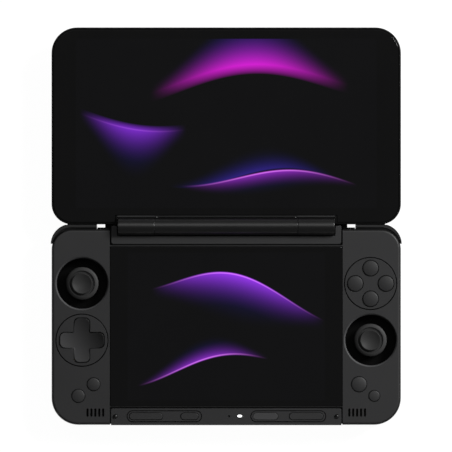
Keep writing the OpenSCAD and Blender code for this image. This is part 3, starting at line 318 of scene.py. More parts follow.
@dataclass(frozen=True)
class MouldedPlastic(Finish):
    """Injection-moulded plastic with a fine spark-eroded grain.

    Attributes:
        grey: Display level of its colour.
        roughness: Mean roughness.
        grain: Size of the grain in millimetres.
        depth: Depth of the grain in millimetres.
        level: Share of the usual mirror reflection.
    """

    name: str
    grey: float
    roughness: float = 0.5
    grain: float = 0.22
    depth: float = 0.006
    level: float = 0.5

    def surface(self, web: Web) -> dict[str, Any]:
        """Adds the grain, a slow cloud in the colour, and faint gloss changes."""
        grain = web.noise(self.grain, 3)
        cloud = web.noise(34, 1)
        tone = linear(self.grey)
        colour = web.mix(
            cloud * 0.5 + grain * 0.5,
            plain(tone * 0.88, tone * 0.9),
            plain(tone * 1.12, tone * 1.15),
        )
        return {
            "Base Color": self.tinted(web, colour),
            "Roughness": (cloud - 0.5) * 0.06 + self.roughness + (grain - 0.5) * 0.08,
            "Specular IOR Level": self.level,
            "Normal": web.bump(grain, self.depth),
        }


@dataclass(frozen=True)
class RootedPlastic(MouldedPlastic):
    """Plastic whose lower part is painted black as painted shade, so that gaps beside it stay dark.

    Attributes:
        root_z: Height below which it is painted black, as painted shade.
        deep: Display level of the painted black shade.
    """

    root_z: float = 0.0
    deep: float = 1.0

    def tinted(self, web: Web, colour: Link) -> Link:
        """Paints shade: blends to black below root_z."""
        # Painted shade: black below root_z stands in for the shade in the gaps.
        return web.mix(web.place()[2].over(self.root_z), shade(self.deep), colour)


@dataclass(frozen=True)
class DishedPlastic(RootedPlastic):
    """Plastic of a control with painted light and shade, brighter towards one side.

    Attributes:
        centre: Middle of the control, where the painted light leaves the colour unchanged.
        fade: Change of the painted brightness for each millimetre along X and along Y.
    """

    centre: Pair = (0.0, 0.0)
    fade: Pair = (0.0, 0.0)

    def tinted(self, web: Web, colour: Link) -> Link:
        """Scales the brightness across the control as painted light and shade, then paints black
        shade below root_z.
        """
        x, y, _ = web.place()
        # Painted light and shade: a steady slope of brightness across the control.
        share = (x - self.centre[0]) * self.fade[0] + (y - self.centre[1]) * self.fade[1] + 1
        return super().tinted(web, web.scaled(colour, share))


@dataclass(frozen=True)
class DeckPlastic(MouldedPlastic):
    """Plastic of the deck, with darker lips beside the middle column's grooves, and its openings
    painted black as painted shade.

    Attributes:
        half: Half the width of the middle column.
        lips: Range of Y of each lip.
        share: Brightness of the lips.
        rim: Brightness of the outer rim below root_z.
        inner: Half the width and the range of Y inside which openings are painted black below
            root_z, as painted shade.
        root_z: Height below which the rim is darker and the openings are painted black.
    """

    half: float = 59.5
    lips: tuple[Pair, ...] = ((-10.9, -9.25), (-93.75, -91.9))
    share: float = 0.4
    rim: float = 0.22
    inner: tuple[float, float, float] = (88.2, -100.5, -3.0)
    root_z: float = 18.85

    def tinted(self, web: Web, colour: Link) -> Link:
        """Darkens the lips and the rim, and paints black shade into the openings."""
        x, y, z = web.place()
        lip: Any = 0.0
        for low, high in self.lips:
            lip = y.over(low) * (1 - y.over(high)) + lip
        deep = 1 - z.over(self.root_z)
        rim = 1 - deep * (1 - self.rim)
        toned = web.scaled(colour, rim - lip * (1 - x.size().over(self.half)) * (1 - self.share))
        half, front, rear = self.inner
        # Painted shade: the openings' walls are black below root_z.
        painted_opening_shade = (1 - x.size().over(half)) * y.over(front) * (1 - y.over(rear)) * deep
        return web.mix(painted_opening_shade, toned, shade(1))


@dataclass(frozen=True)
class LidRimPlastic(MouldedPlastic):
    """Black rim of the lid, bare and paler along the notch for the hinge.

    Attributes:
        rim: Display level of the rim.
        notch: Half the notch's length, and the Y at which the bare strip ends.
        middle: Half the length of the darker middle of the strip.
    """

    rim: float = 5.0
    notch: Pair = (56.05, 5.75)
    middle: float = 36.75

    def tinted(self, web: Web, colour: Link) -> Link:
        """Blackens all but the strip."""
        x, y, _ = web.place()
        bare = (1 - x.size().over(self.notch[0])) * (1 - y.over(self.notch[1]))
        ends = x.size().over(self.middle) * 0.45 + 0.55
        return web.mix(bare, shade(self.rim), web.scaled(colour, ends))


@dataclass(frozen=True)
class CastRubber(Finish):
    """Soft silicone rubber with a dusty sheen and tiny pores."""

    name: str
    grey: float
    roughness: float = 0.6
    level: float = 0.4

    def surface(self, web: Web) -> dict[str, Any]:
        """Adds pores and a little uneven sheen."""
        pores = web.noise(0.16, 4)
        smear = web.noise(3.5, 2)
        tone = linear(self.grey)
        colour = web.mix(smear, plain(tone * 0.9), plain(tone * 1.1))
        return {
            "Base Color": self.tinted(web, colour),
            "Roughness": self.roughness + (smear - 0.5) * 0.1,
            "Specular IOR Level": self.level,
            "Normal": web.bump(pores, 0.006),
        }


@dataclass(frozen=True)
class ThumbRubber(CastRubber):
    """Rubber of a thumb stick, with painted light and shade: its disc is brighter on one side and
    its ring on the other.

    Attributes:
        centre: The stick's place.
        disc_r: Radius of the disc.
        ring: Change of the ring's painted brightness for each millimetre along X and along Y.
        disc: The same for the disc.
    """

    centre: Pair = (0.0, 0.0)
    disc_r: float = 5.7
    ring: Pair = (0.08, 0.03)
    disc: Pair = (-0.03, -0.02)

    def tinted(self, web: Web, colour: Link) -> Link:
        """Scales the brightness across the cap as painted light and shade."""
        x, y, _ = web.place()
        across, along = x - self.centre[0], y - self.centre[1]
        outside = ((across * across + along * along) ** 0.5).over(self.disc_r)
        # Painted light and shade: the ring and the disc get opposite slopes of brightness.
        painted_light = [across * fade[0] + along * fade[1] for fade in (self.ring, self.disc)]
        return web.scaled(colour, painted_light[0] * outside + painted_light[1] * (1 - outside) + 1)


@dataclass(frozen=True)
class Ribbon:
    """One flowing band of light in a screen's picture, in millimetres.

    Attributes:
        level, swing, span, shift, lean: Height of its middle line, how far the line waves up and
            down, length of one wave, X at which the wave starts, and rise for each millimetre.
        depth: How far the glow spreads from the line, upwards when positive.
        middle, reach: X where it is brightest, and how far it goes on each side of that.
        core, tail: Display levels of its colour at the line, and where it fades.
        spark: Strength of the pale thread along the line.
        blur: How far the glow spreads to the other side of the line.
        thread, thread_w: The thread's display levels and half its width.
    """

    level: float
    swing: float
    span: float
    shift: float
    lean: float
    depth: float
    middle: float
    reach: float
    core: Colour
    tail: Colour
    spark: float = 0.5
    blur: float = 0.8
    thread: Colour = (255, 150, 255)
    thread_w: float = 0.55

    def glow(self, web: Web, x: Signal, y: Signal) -> Link:
        """Adds the band's colour at a point.

        Args:
            web: The material's tree.
            x: The point's X.
            y: The point's Y.

        Returns:
            The light of the band.
        """
        turn = (x - self.shift) * (math.tau / self.span)
        line = turn.wave() * self.swing + x * self.lean + self.level
        away = (y - line) * (1 / self.depth)
        along = ((x - self.middle) * (1 / self.reach)).size()
        fade = (1 - along * along).clipped()
        fade = fade * fade
        soft = (1 - away / (fade * 0.75 + 0.25)).clipped() ** 2.4
        crisp = (away * abs(self.depth / self.blur) + 1).clipped()
        tint = web.mix((away * 1.6).clipped(), shade(*self.core), shade(*self.tail))
        glow = web.scaled(tint, soft * crisp * fade)
        thread = (1 - (away * self.depth).size() / self.thread_w).clipped() * fade * self.spark
        return web.summed(glow, web.scaled(shade(*self.thread), thread))


@dataclass(frozen=True)
class BlackGlass(Finish):
    """Cover glass over a display, black where the picture is dark.

    Attributes:
        ribbons: The lit bands of the picture.
        window: Middle X, middle Y, width and height of the picture.
    """

    name: str
    ribbons: tuple[Ribbon, ...]
    window: tuple[float, float, float, float]

    def surface(self, web: Web) -> dict[str, Any]:
        """Adds a polished surface with faint smears, and the picture behind it."""
        smear = web.noise(26, 3)
        return {
            "Base Color": web.mix(smear, shade(6, 6, 6.5), shade(9.5, 9.5, 10)),
            "Roughness": 0.035 + smear * 0.03,
            "IOR": 1.5,
            "Emission Color": self.picture(web),
            "Emission Strength": 1.0,
        }

    def picture(self, web: Web) -> Link:
        """Adds the bands, cut off at the display's edge."""
        x, y, _ = web.place()
        mid_x, mid_y, width, height = self.window
        across = 1 - (x - mid_x).size().over(width / 2)
        along = 1 - (y - mid_y).size().over(height / 2)
        light: Any = shade(2, 2, 3)
        for ribbon in self.ribbons:
            light = web.summed(light, ribbon.glow(web, x, y))
        return web.scaled(light, across * along)


@dataclass(frozen=True)
class Metal(Finish):
    """Plated or brushed metal.

    Attributes:
        colour: Linear colour.
        roughness: Mean roughness.
        stretch: Factors on the pattern's coordinates, which give the brushing its direction.
    """

    name: str
    colour: Colour
    roughness: float = 0.32
    stretch: tuple[float, float, float] = (1, 1, 1)

    def surface(self, web: Web) -> dict[str, Any]:
        """Adds fine brushing and a slow change of tone."""
        brush = web.noise(0.3, 3, self.stretch)
        tone = web.noise(9, 1)
        dark = tuple(value * 0.82 for value in self.colour[:3]) + (1,)
        return {
            "Base Color": web.mix(tone * 0.6 + brush * 0.4, dark, self.colour),
            "Metallic": 1.0,
            "Roughness": self.roughness + (brush - 0.5) * 0.2,
            "Normal": web.bump(brush, 0.004),
        }


@dataclass(frozen=True)
class CircuitBoard(Finish):
    """Solder mask over copper tracks, with black chips above the mask's height."""

    name: str
    chip_z: float

    def surface(self, web: Web) -> dict[str, Any]:
        """Adds tracks as level lines of a slow noise, pads as round dots, and dark chips."""
        _, _, z = web.place()
        flow = web.noise(14, 0)
        tracks = 1 - ((flow * 38).wave().size() * 5).clipped()
        sockets = {"Vector": web.object_point(), "Scale": 1 / (2.6 * MM)}
        cells = web.node("ShaderNodeTexVoronoi", sockets=sockets)
        pads = (1 - Signal(web, cells.outputs[0]) * 3.6).clipped().over(0.25)
        mask = web.mix(tracks * 0.7, shade(10, 52, 34), shade(22, 92, 58))
        colour = web.mix(pads, mask, shade(196, 160, 88))
        chip = z.over(self.chip_z)
        return {
            "Base Color": web.mix(chip, colour, shade(26, 26, 28)),
            "Roughness": 0.32 + chip * 0.2,
            "Normal": web.bump(tracks + pads, 0.03),
        }


@dataclass(frozen=True)
class CellWrap(Finish):
    """Foil pouch of the battery, with folded seams along its sides."""

    name: str

    def surface(self, web: Web) -> dict[str, Any]:
        """Adds crinkled foil, taped edges and a plain pale band across it."""
        x, y, _ = web.place()
        crinkle = web.noise(2.2, 4, (1, 2.5, 1))
        tape = x.size().over(49.0)
        band = 1 - (y + 74.5).size().over(11.0)
        foil = web.mix(crinkle, shade(118, 120, 124), shade(160, 162, 166))
        pale = web.mix(crinkle, shade(206, 206, 202), shade(222, 222, 218))
        colour = web.mix(tape, web.mix(band, foil, pale), shade(196, 146, 40))
        return {
            "Base Color": colour,
            "Metallic": (1 - tape) * (1 - band) * 0.6,
            "Roughness": 0.36 + crinkle * 0.2,
            "Normal": web.bump(crinkle, 0.05),
        }


@dataclass(frozen=True)
class DisplayStack(Finish):
    """Back and edges of a display module: black tape over a steel tray."""

    name: str

    def surface(self, web: Web) -> dict[str, Any]:
        """Adds black tape with a woven print and bare steel patches."""
        patch = web.noise(30, 0).over(0.56)
        weave = web.noise(0.5, 2)
        colour = web.mix(patch, shade(24, 24, 26), shade(148, 150, 154))
        return {
            "Base Color": colour,
            "Metallic": patch * 0.9,
            "Roughness": 0.42 + weave * 0.15,
            "Normal": web.bump(weave, 0.01),
        }


@dataclass(frozen=True)
class LitLens(Finish):
    """Milky light pipe with a white lamp behind its middle.

    Attributes:
        middle: Place of the lit window.
        window: Half its length and half its width.
    """

    name: str
    middle: Pair = (6.95, -97.75)
    window: Pair = (1.25, 0.7)

    def surface(self, web: Web) -> dict[str, Any]:
        """Adds a glow in the window and dark haze round it."""
        x, y, _ = web.place()
        across = (x - self.middle[0]) / self.window[0]
        along = (y - self.middle[1]) / self.window[1]
        face = 1 - (across * across + along * along).over(1.0)
        haze = web.noise(0.8, 2)
        milk = web.mix(haze, shade(225, 228, 232), shade(244, 246, 248))
        return {
            "Base Color": web.mix(face, shade(24), milk),
            "Roughness": 0.3 + haze * 0.1,
            "Emission Color": web.mix(face, shade(0), shade(255)),
            "Emission Strength": 1.0,
        }


@dataclass(frozen=True)
class Palette:
    """Every finish of the console."""

    shell: Finish = MouldedPlastic("shell_grained_plastic", 46, 0.5, level=0.2)
    deck: Finish = DeckPlastic("deck_plastic", 46, 0.46, level=0.28)
    # The column plastic is painted black below root_z: painted shade in the grooves beside it.
    column: Finish = RootedPlastic("column_plastic", 48, 0.5, level=0.2, root_z=18.55)
    lid_shell: Finish = MouldedPlastic("lid_plastic", 40, 0.46, level=0.25)
    lid_rim: Finish = LidRimPlastic("lid_rim_plastic", 48, 0.45, level=0.12)
    barrel: Finish = MouldedPlastic("barrel_plastic", 5, 0.32, 0.16, 0.001, 0.75)
    # The button, small-button and shoulder plastics are painted black below root_z: painted shade
    # in the gaps round them.
    button: Finish = RootedPlastic("control_plastic", 41, 0.5, 0.12, 0.003, 0.3, 18.75)
    small_button: Finish = RootedPlastic("small_button_plastic", 40, 0.5, 0.12, 0.002, 0.4, 18.75)
    shoulder: Finish = RootedPlastic("shoulder_plastic", 28, 0.4, 0.14, 0.003, 0.4, 17.3)
    inner: Finish = MouldedPlastic("inner_black_plastic", 6, 0.6, level=0.15)
    stem: Finish = MouldedPlastic("stem_white_plastic", 206, 0.36, 0.3, 0.002)
    sensor: Finish = MouldedPlastic("sensor_coating", 64, 0.3, 0.1, 0.002)
    soft: Finish = CastRubber("foot_rubber", 14, 0.28)
    steel: Finish = Metal("plated_steel", shade(176, 178, 182))
    magnet: Finish = Metal("nickel_plate", shade(196, 196, 194), 0.22)
    copper: Finish = Metal("pipe_copper", shade(198, 122, 84), 0.3, (0.2, 3, 3))
    main_board: Finish = CircuitBoard("main_board_mask", 7.02)
    small_board: Finish = CircuitBoard("control_board_mask", 90.0)
    battery: Finish = CellWrap("battery_foil")
    display: Finish = DisplayStack("display_tape")
    lens: Finish = LitLens("lit_lens")
    upper_glass: Finish = BlackGlass(
        "upper_glass",
        (
            Ribbon(74.0, 9.0, 160, -26, 0.03, 26, 12, 52, (210, 24, 208), (70, 40, 200), 0, 5),
            Ribbon(52.0, -7.0, 150, -80, -0.1, -27, -48, 28, (120, 40, 196), (30, 20, 110), 0.1, 3),
            Ribbon(25.0, 5.5, 120, 6, -0.05, -12, 22, 46, (140, 38, 186), (30, 22, 96)),
            Ribbon(25.5, 6.5, 120, 4, -0.05, 13, 14, 44, (40, 26, 120), (22, 18, 80), 0),
        ),
        (0, 53.0, 154.97, 87.17),
    )
    lower_glass: Finish = BlackGlass(
        "lower_glass",
        (
            Ribbon(-33.0, 9.0, 116, -26, -0.16, -27, 6, 45, (150, 54, 236), (34, 24, 112)),
            Ribbon(-72.0, -6.0, 104, 26, 0.1, 12, -12, 34, (130, 40, 186), (28, 20, 100)),
        ),
        (0, -51.6, 101.6, 76.2),
    )

    @staticmethod
    def pad(centre: Pair) -> Finish:
        """Gives the cross pad's finish at its place in plan, with painted light across it and
        painted black shade below root_z.
        """
        return DishedPlastic(
            "pad_plastic", 45, 0.45, 0.12, 0.003, 0.25, 18.3, centre=centre, fade=(-0.07, -0.03)
        )

    @staticmethod
    def well(side: Side, centre: Pair) -> Finish:
        """Gives the finish of a stick's well at its place in plan, with painted light across its
        rim and painted black shade inside it.
        """
        name = f"{side.word}_well_plastic"
        return DishedPlastic(
            name, 60, level=0.1, root_z=18.3, deep=0.0, centre=centre, fade=(-0.055, -0.04)
        )

    @staticmethod
    def stick(side: Side, centre: Pair) -> Finish:
        """Gives the finish of a stick's cap at its place in plan, with painted light and shade
        across it.
        """
        return ThumbRubber(f"{side.word}_cap_rubber", 49, 0.5, 0.15, centre)


@dataclass
class Bench:
    """Takes finished meshes and CAD nodes, and hands them over to the frame."""

    frame: dict[str, Any]
    palette: Palette = field(default_factory=Palette)

    def hand_over(
        self, bm: Shape, name: str, node: str, finish: Finish, slot: Slot, sharp: float = 38
    ) -> None:
        """Turns a shape into a piece that stands for a CAD node and rides on its body.

        Args:
            bm: The shape in millimetres, which is freed.
            name: The piece's name.
            node: The CAD node that it stands for.
            finish: Its finish.
            slot: The record's material slot; not used.
            sharp: Angle in degrees above which an edge stays sharp.
        """
        bmesh.ops.remove_doubles(bm, verts=bm.verts, dist=MERGE)
        bmesh.ops.recalc_face_normals(bm, faces=bm.faces)
        bmesh.ops.scale(bm, vec=(MM, MM, MM), verts=bm.verts)
        mesh = mesh_of(bm, name)
        mesh.shade_smooth()
        mesh.set_sharp_from_angle(angle=math.radians(sharp))
        mesh.materials.append(finish.material())
        made = placed(name, mesh)
        made.modifiers.new("flat_faces", "WEIGHTED_NORMAL").keep_sharp = True
        body = self.frame["nodes"][node]["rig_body"]
        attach(made, body)
        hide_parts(node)
        LOG.info("%s rides on %s, %d faces", name, body, len(mesh.polygons))

    def dress(self, finish: Finish, *nodes: str) -> None:
        """Gives CAD nodes that stay a finish."""
        for name in nodes:
            slots = self.frame["nodes"][name].data.materials
            slots.clear()
            slots.append(finish.material())
            LOG.info("%s keeps its CAD shape", name)

    def soften(
        self,
        node: str,
        finish: Finish,
        slot: Slot,
        width: float = 0.25,
        above: float = -1.0,
        corner_r: float = 0.0,
        corner_y: Pair = (-200.0, 200.0),
        segments: int = 2,
    ) -> None:
        """Replaces a hard-edged CAD node by a copy with rounded edges.

        Args:
            node: The CAD node.
            finish: The copy's finish.
            slot: The record's material slot.
            width: Width of the rounding in millimetres.
            above: Height above which edges are rounded.
            corner_r: Radius that upright corners get first.
            corner_y: Range of Y in which corners get it.
            segments: Facets across the rounding.
        """
        bm = bmesh.new()
        bm.from_mesh(self.frame["nodes"][node].data)
        bmesh.ops.scale(bm, vec=(1 / MM,) * 3, verts=bm.verts)
        bmesh.ops.remove_doubles(bm, verts=bm.verts, dist=CAD_MERGE)
        bmesh.ops.dissolve_limit(
            bm,
            angle_limit=math.radians(CAD_FLAT),
            verts=bm.verts,
            edges=bm.edges,
            use_dissolve_boundaries=False,
        )
        if corner_r:
            front, rear = corner_y
            corners = [
                edge
                for edge in convex_edges(bm)
                if is_upright(edge) and front < edge.verts[0].co.y < rear
            ]
            round_edges(bm, corners, corner_r, 6)
        edges = [edge for edge in convex_edges(bm) if min(end.co.z for end in edge.verts) > above]
        round_edges(bm, edges, width, segments)
        self.hand_over(bm, node + "_finished", node, finish, slot)


def mesh_of(bm: Shape, name: str) -> bpy.types.Mesh:
    """Turns a shape into a mesh and frees the shape."""
    mesh = bpy.data.meshes.new(name)
    bm.to_mesh(mesh)
    bm.free()
    return mesh


def placed(name: str, data: bpy.types.ID) -> bpy.types.Object:
    """Adds an object at the origin of the scene."""
    made = bpy.data.objects.new(name, data)
    bpy.context.scene.collection.objects.link(made)
    return made


def middle_of(node: str) -> Pair:
    """Gives the middle of a CAD node in plan, in millimetres."""
    low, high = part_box(node)
    return (low.x + high.x) / 2 / MM, (low.y + high.y) / 2 / MM


def round_edges(bm: Shape, edges: Sequence[Edge], width: float, segments: int) -> None:
    """Rounds the given edges of a shape."""
    bmesh.ops.bevel(
        bm,
        geom=list(edges),
        offset=width,
        offset_type="OFFSET",
        affect="EDGES",
        segments=segments,
        profile=0.5,
        material=-1,
        clamp_overlap=True,
    )


def convex_edges(bm: Shape, angle: float = 40) -> list[Edge]:
    """Lists the edges at which two faces fall away by more than an angle in degrees."""
    return [
        edge
        for edge in bm.edges
        if len(edge.link_faces) == 2 and edge.calc_face_angle_signed(0) > math.radians(angle)
    ]


def edges_where(bm: Shape, test: Callable[[Vector], bool]) -> list[Edge]:
    """Lists the edges whose two ends both pass a test on their place."""
    return [edge for edge in bm.edges if all(test(vert.co) for vert in edge.verts)]


def is_upright(edge: Edge) -> bool:
    """Tells whether an edge runs straight up."""
    return (edge.verts[0].co - edge.verts[1].co).xy.length < NEAR


def is_folded(edge: Edge) -> bool:
    """Tells whether the faces of an edge meet at a corner."""
    return edge.calc_face_angle(0) > 1


def round_rim(bm: Shape, height: float, width: float) -> None:
    """Rounds the edges between the level face at a height and the sides."""
    rim = edges_where(bm, lambda at: abs(at.z - height) < NEAR)
    round_edges(bm, [edge for edge in rim if is_folded(edge)], width, 4)


def round_ring(bm: Shape, radius: float, height: float, width: float, segments: int) -> None:
    """Rounds the ring of edges at a radius and height of a turned shape."""
    ring = edges_where(
        bm, lambda at: abs(at.xy.length - radius) < NEAR and abs(at.z - height) < NEAR
    )
    round_edges(bm, ring, width, segments)


def turned(outline: Sequence[Pair], steps: int) -> Shape:
    """Spins an outline round the Z axis.

    Args:
        outline: Radius and height of each corner, from the axis back to the axis.
        steps: Facets round the axis.

    Returns:
        The new shape.
    """
    bm = bmesh.new()
    verts = [bm.verts.new((radius, 0, height)) for radius, height in outline]
    edges = [bm.edges.new(pair) for pair in zip(verts, verts[1:])]
    bmesh.ops.spin(
        bm,
        geom=verts + edges,
        cent=(0, 0, 0),
        axis=(0, 0, 1),
        angle=math.tau,
        steps=steps,
        use_merge=True,
    )
    bmesh.ops.remove_doubles(bm, verts=bm.verts, dist=MERGE)
    return bm


def moved(bm: Shape, x: float, y: float) -> None:
    """Moves a whole shape in plan."""
    bmesh.ops.translate(bm, vec=(x, y, 0), verts=bm.verts)


def boxed(bm: Shape, length: float, width: float, low: float, high: float) -> set[Any]:
    """Adds a block round the Z axis between two heights and gives its corners."""
    verts = bmesh.ops.create_cube(bm, size=1)["verts"]
    bmesh.ops.scale(bm, vec=(length, width, high - low), verts=verts)
    bmesh.ops.translate(bm, vec=(0, 0, (low + high) / 2), verts=verts)
    return set(verts)


@dataclass
class StickWell:
    """Open well under a thumb stick, painted black inside as painted shade, with a rounded rim that
    catches the light and painted light across it.

    Attributes:
        side, centre: Which stick it belongs to, and its place in plan.
        inner_r, outer_r, hole_r: Radii of its wall inside and outside, and of the hole below.
        floor_t, lip: Thickness of its floor, and width of the rim's rounding.
    """

    side: Side
    centre: Pair
    inner_r: float = 13.0
    outer_r: float = 13.8
    hole_r: float = 6.2
    floor_t: float = 0.6
    lip: float = 0.65

    def build(self, bench: Bench) -> None:
        """Turns the well from its section."""
        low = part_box("stick_wells")[0].z / MM
        floor = low + self.floor_t
        bm = turned(
            [
                (self.hole_r, floor),
                (self.inner_r, floor),
                (self.inner_r, DECK_Z),
                (self.outer_r, DECK_Z),
                (self.outer_r, low),
                (self.hole_r, low),
                (self.hole_r, floor),
            ],
            96,
        )
        round_ring(bm, self.inner_r, DECK_Z, self.lip, 4)
        moved(bm, *self.centre)
        finish = bench.palette.well(self.side, self.centre)
        name = f"{self.side.word}_stick_well"
        bench.hand_over(bm, name, "stick_wells", finish, Slot.INNER, 50)


@dataclass
class ThumbStick:
    """Rubber cap of a thumb stick: a sloping ring round a raised, dished disc.

    Attributes:
        side, centre: Which stick it is, and its place in plan.
        ring_r, groove_r, disc_r, neck_r: Outer radii of the ring, groove, disc and neck.
        ring_top, ring_fall, ring_under: The ring's crest, its fall outwards and its lower face.
        groove_z, neck_z: Heights of the groove's floor and of the neck's lower end.
        disc_top, disc_rim: Height of the disc's edge, and its corners as steps out and up.
        dish, dish_share: Depth of the dish, and its share of the disc's radius.
        edges: Widths of the rounding at the ring's outer and inner edge.
    """

    side: Side
    centre: Pair
    ring_r: float = 8.45
    ring_top: float = 16.7
    ring_fall: float = 0.8
    ring_under: float = 15.3
    groove_r: float = 6.45
    groove_z: float = 15.9
    disc_r: float = 5.4
    disc_top: float = 17.47
    disc_rim: tuple[Pair, ...] = ((-0.4, 0.0), (-0.2, -0.04), (0.0, -0.25))
    dish: float = 0.95
    dish_share: float = 0.88
    neck_r: float = 3.4
    neck_z: float = 11.0
    edges: Pair = (0.3, 0.12)

    def build(self, bench: Bench) -> None:
        """Turns the cap from its section and rounds its rims."""
        parts = [i / 8 for i in range(9)]
        brim, width = self.disc_top - 0.1, self.ring_r - self.groove_r - 0.1
        low = self.ring_top - self.ring_fall
        quarter = math.pi / 2
        bm = turned(
            [
                *(
                    (self.disc_r * self.dish_share * part, brim - self.dish * (1 - part**2))
                    for part in parts
                ),
                *((self.disc_r + out, self.disc_top + up) for out, up in self.disc_rim),
                (self.disc_r + 0.05, self.groove_z),
                (self.groove_r, self.groove_z),
                *(
                    (
                        self.ring_r - width + width * math.sin(quarter * part),
                        low + self.ring_fall * math.cos(quarter * part),
                    )
                    for part in parts
                ),
                (self.ring_r, self.ring_under),
                (self.neck_r, self.ring_under),
                (self.neck_r, self.neck_z),
                (0, self.neck_z),
            ],
            72,
        )
        outer, inner = self.edges
        round_ring(bm, self.ring_r, self.ring_under, outer, 3)
        round_ring(bm, self.ring_r - width, self.ring_top, inner, 2)
        moved(bm, *self.centre)
        finish = bench.palette.stick(self.side, self.centre)
        node = f"{self.side.word}_stick_cap"
        bench.hand_over(bm, node + "_rubber", node, finish, Slot.STICK, 50)


@dataclass
class CrossPad:
    """Cross-shaped direction pad with a dished face.

    Attributes:
        centre: Its place in plan.
        span, arm: Length from end to end, and width of an arm.
        end_r, inner_r: Radii of the corners at the arms' ends and between the arms.
        top, under: Heights of its face before it is dished, and of its lower face.
        edge, dish: Width of the rounding along its face, and depth of the dish.
        strip: Width of the strips that the face is cut into.
    """

    centre: Pair
    span: float = 22.7
    arm: float = 7.85
    end_r: float = 2.6
    inner_r: float = 1.0
    top: float = 19.6
    under: float = 17.2
    edge: float = 0.5
    dish: float = 1.1
    strip: float = 0.95

    def build(self, bench: Bench) -> None:
        """Shapes the cross from one block, rounds it and sinks its face."""
        bm = bmesh.new()
        half, arm = self.span / 2, self.arm / 2
        boxed(bm, self.arm, self.arm, self.under, self.top)
        for way in ((-1, 0), (1, 0), (0, -1), (0, 1)):
            self._grow(bm, Vector((*way, 0)), half - arm)
        self._round_corners(bm, lambda at: max(abs(at.x), abs(at.y)) > half - 0.01, self.end_r, 8)
        self._round_corners(
            bm,
            lambda at: max(abs(abs(at.x) - arm), abs(abs(at.y) - arm)) < 0.01,
            self.inner_r,
            5,
        )
        round_rim(bm, self.top, self.edge)
        self._sink(bm, half)
        moved(bm, *self.centre)
        finish = bench.palette.pad(self.centre)
        bench.hand_over(bm, "dpad_cross", "dpad", finish, Slot.BUTTON, 60)

    def _grow(self, bm: Shape, way: Vector, length: float) -> None:
        """Pulls the middle block's side that faces one way out to an arm."""
        facing = [face for face in bm.faces if face.normal.dot(way) > 0.99 and self._inner(face)]
        grown = bmesh.ops.extrude_face_region(bm, geom=facing)["geom"]
        verts = [item for item in grown if isinstance(item, bmesh.types.BMVert)]
        bmesh.ops.translate(bm, vec=way * length, verts=verts)
        bmesh.ops.delete(bm, geom=facing, context="FACES_ONLY")
        bm.normal_update()

    def _inner(self, face: bmesh.types.BMFace) -> bool:
        """Tells whether a face is one of the middle block's own sides."""
        near, far = sorted(abs(value) for value in face.calc_center_median().xy)
        return far < self.arm / 2 + 0.01 and near < 0.01

    @staticmethod
    def _round_corners(
        bm: Shape, test: Callable[[Vector], bool], radius: float, segments: int
    ) -> None:
        """Rounds the upright corners whose place passes a test."""
        edges = [edge for edge in edges_where(bm, test) if is_upright(edge) and is_folded(edge)]
        round_edges(bm, edges, radius, segments)

    def _sink(self, bm: Shape, half: float) -> None:
        """Cuts the face into narrow strips both ways and lowers it towards its middle."""
        count = int(self.span / self.strip)
        for axis in (Vector((1, 0, 0)), Vector((0, 1, 0))):
            for i in range(1, count):
                bmesh.ops.bisect_plane(
                    bm,
                    geom=bm.verts[:] + bm.edges[:] + bm.faces[:],
                    dist=MERGE,
                    plane_co=axis * (-half + self.span * i / count),
                    plane_no=axis,
                )
        depth = self.edge + 0.01
        for vert in bm.verts:
            weight = (vert.co.z - self.top + depth) / depth
            if weight > 0:
                vert.co.z -= weight * self.dish * max(0.0, 1 - (vert.co.xy.length / half) ** 2)


@dataclass
class RoundButton:
    """Domed round push button with a hidden flange and stub.

    Attributes:
        node: The CAD node that it stands for.
        radius, top, dome_r: Radius and crown of the part that shows, and radius of its curve.
        flange_z, flange: Upper face of its flange, and how wide and thick it is.
        foot_z, stub_r: Lower end and radius of its stub.
        finish: Its finish.
        edge: Width of the rounding round its crown.
    """

    node: str
    radius: float
    top: float
    flange_z: float
    foot_z: float
    finish: Finish
    dome_r: float = 18.0
    flange: float = 0.8
    stub_r: float = 1.6
    edge: float = 0.42

    def build(self, bench: Bench) -> None:
        """Turns the button from its section and rounds its rim."""
        radii = [self.radius * i / 6 for i in range(7)]
        middle = self.top - self.dome_r
        crown = [(radius, middle + math.sqrt(self.dome_r**2 - radius**2)) for radius in radii]
        under = self.flange_z - self.flange
        bm = turned(
            [
                *crown,
                (self.radius, self.flange_z),
                (self.radius + self.flange, self.flange_z),
                (self.radius + self.flange, under),
                (self.stub_r, under),
                (self.stub_r, self.foot_z),
                (0, self.foot_z),
            ],
            64,
        )
        round_ring(bm, self.radius, crown[-1][1], self.edge, 4)
        moved(bm, *middle_of(self.node))
        bench.hand_over(bm, self.node + "_cap", self.node, self.finish, Slot.BUTTON, 50)


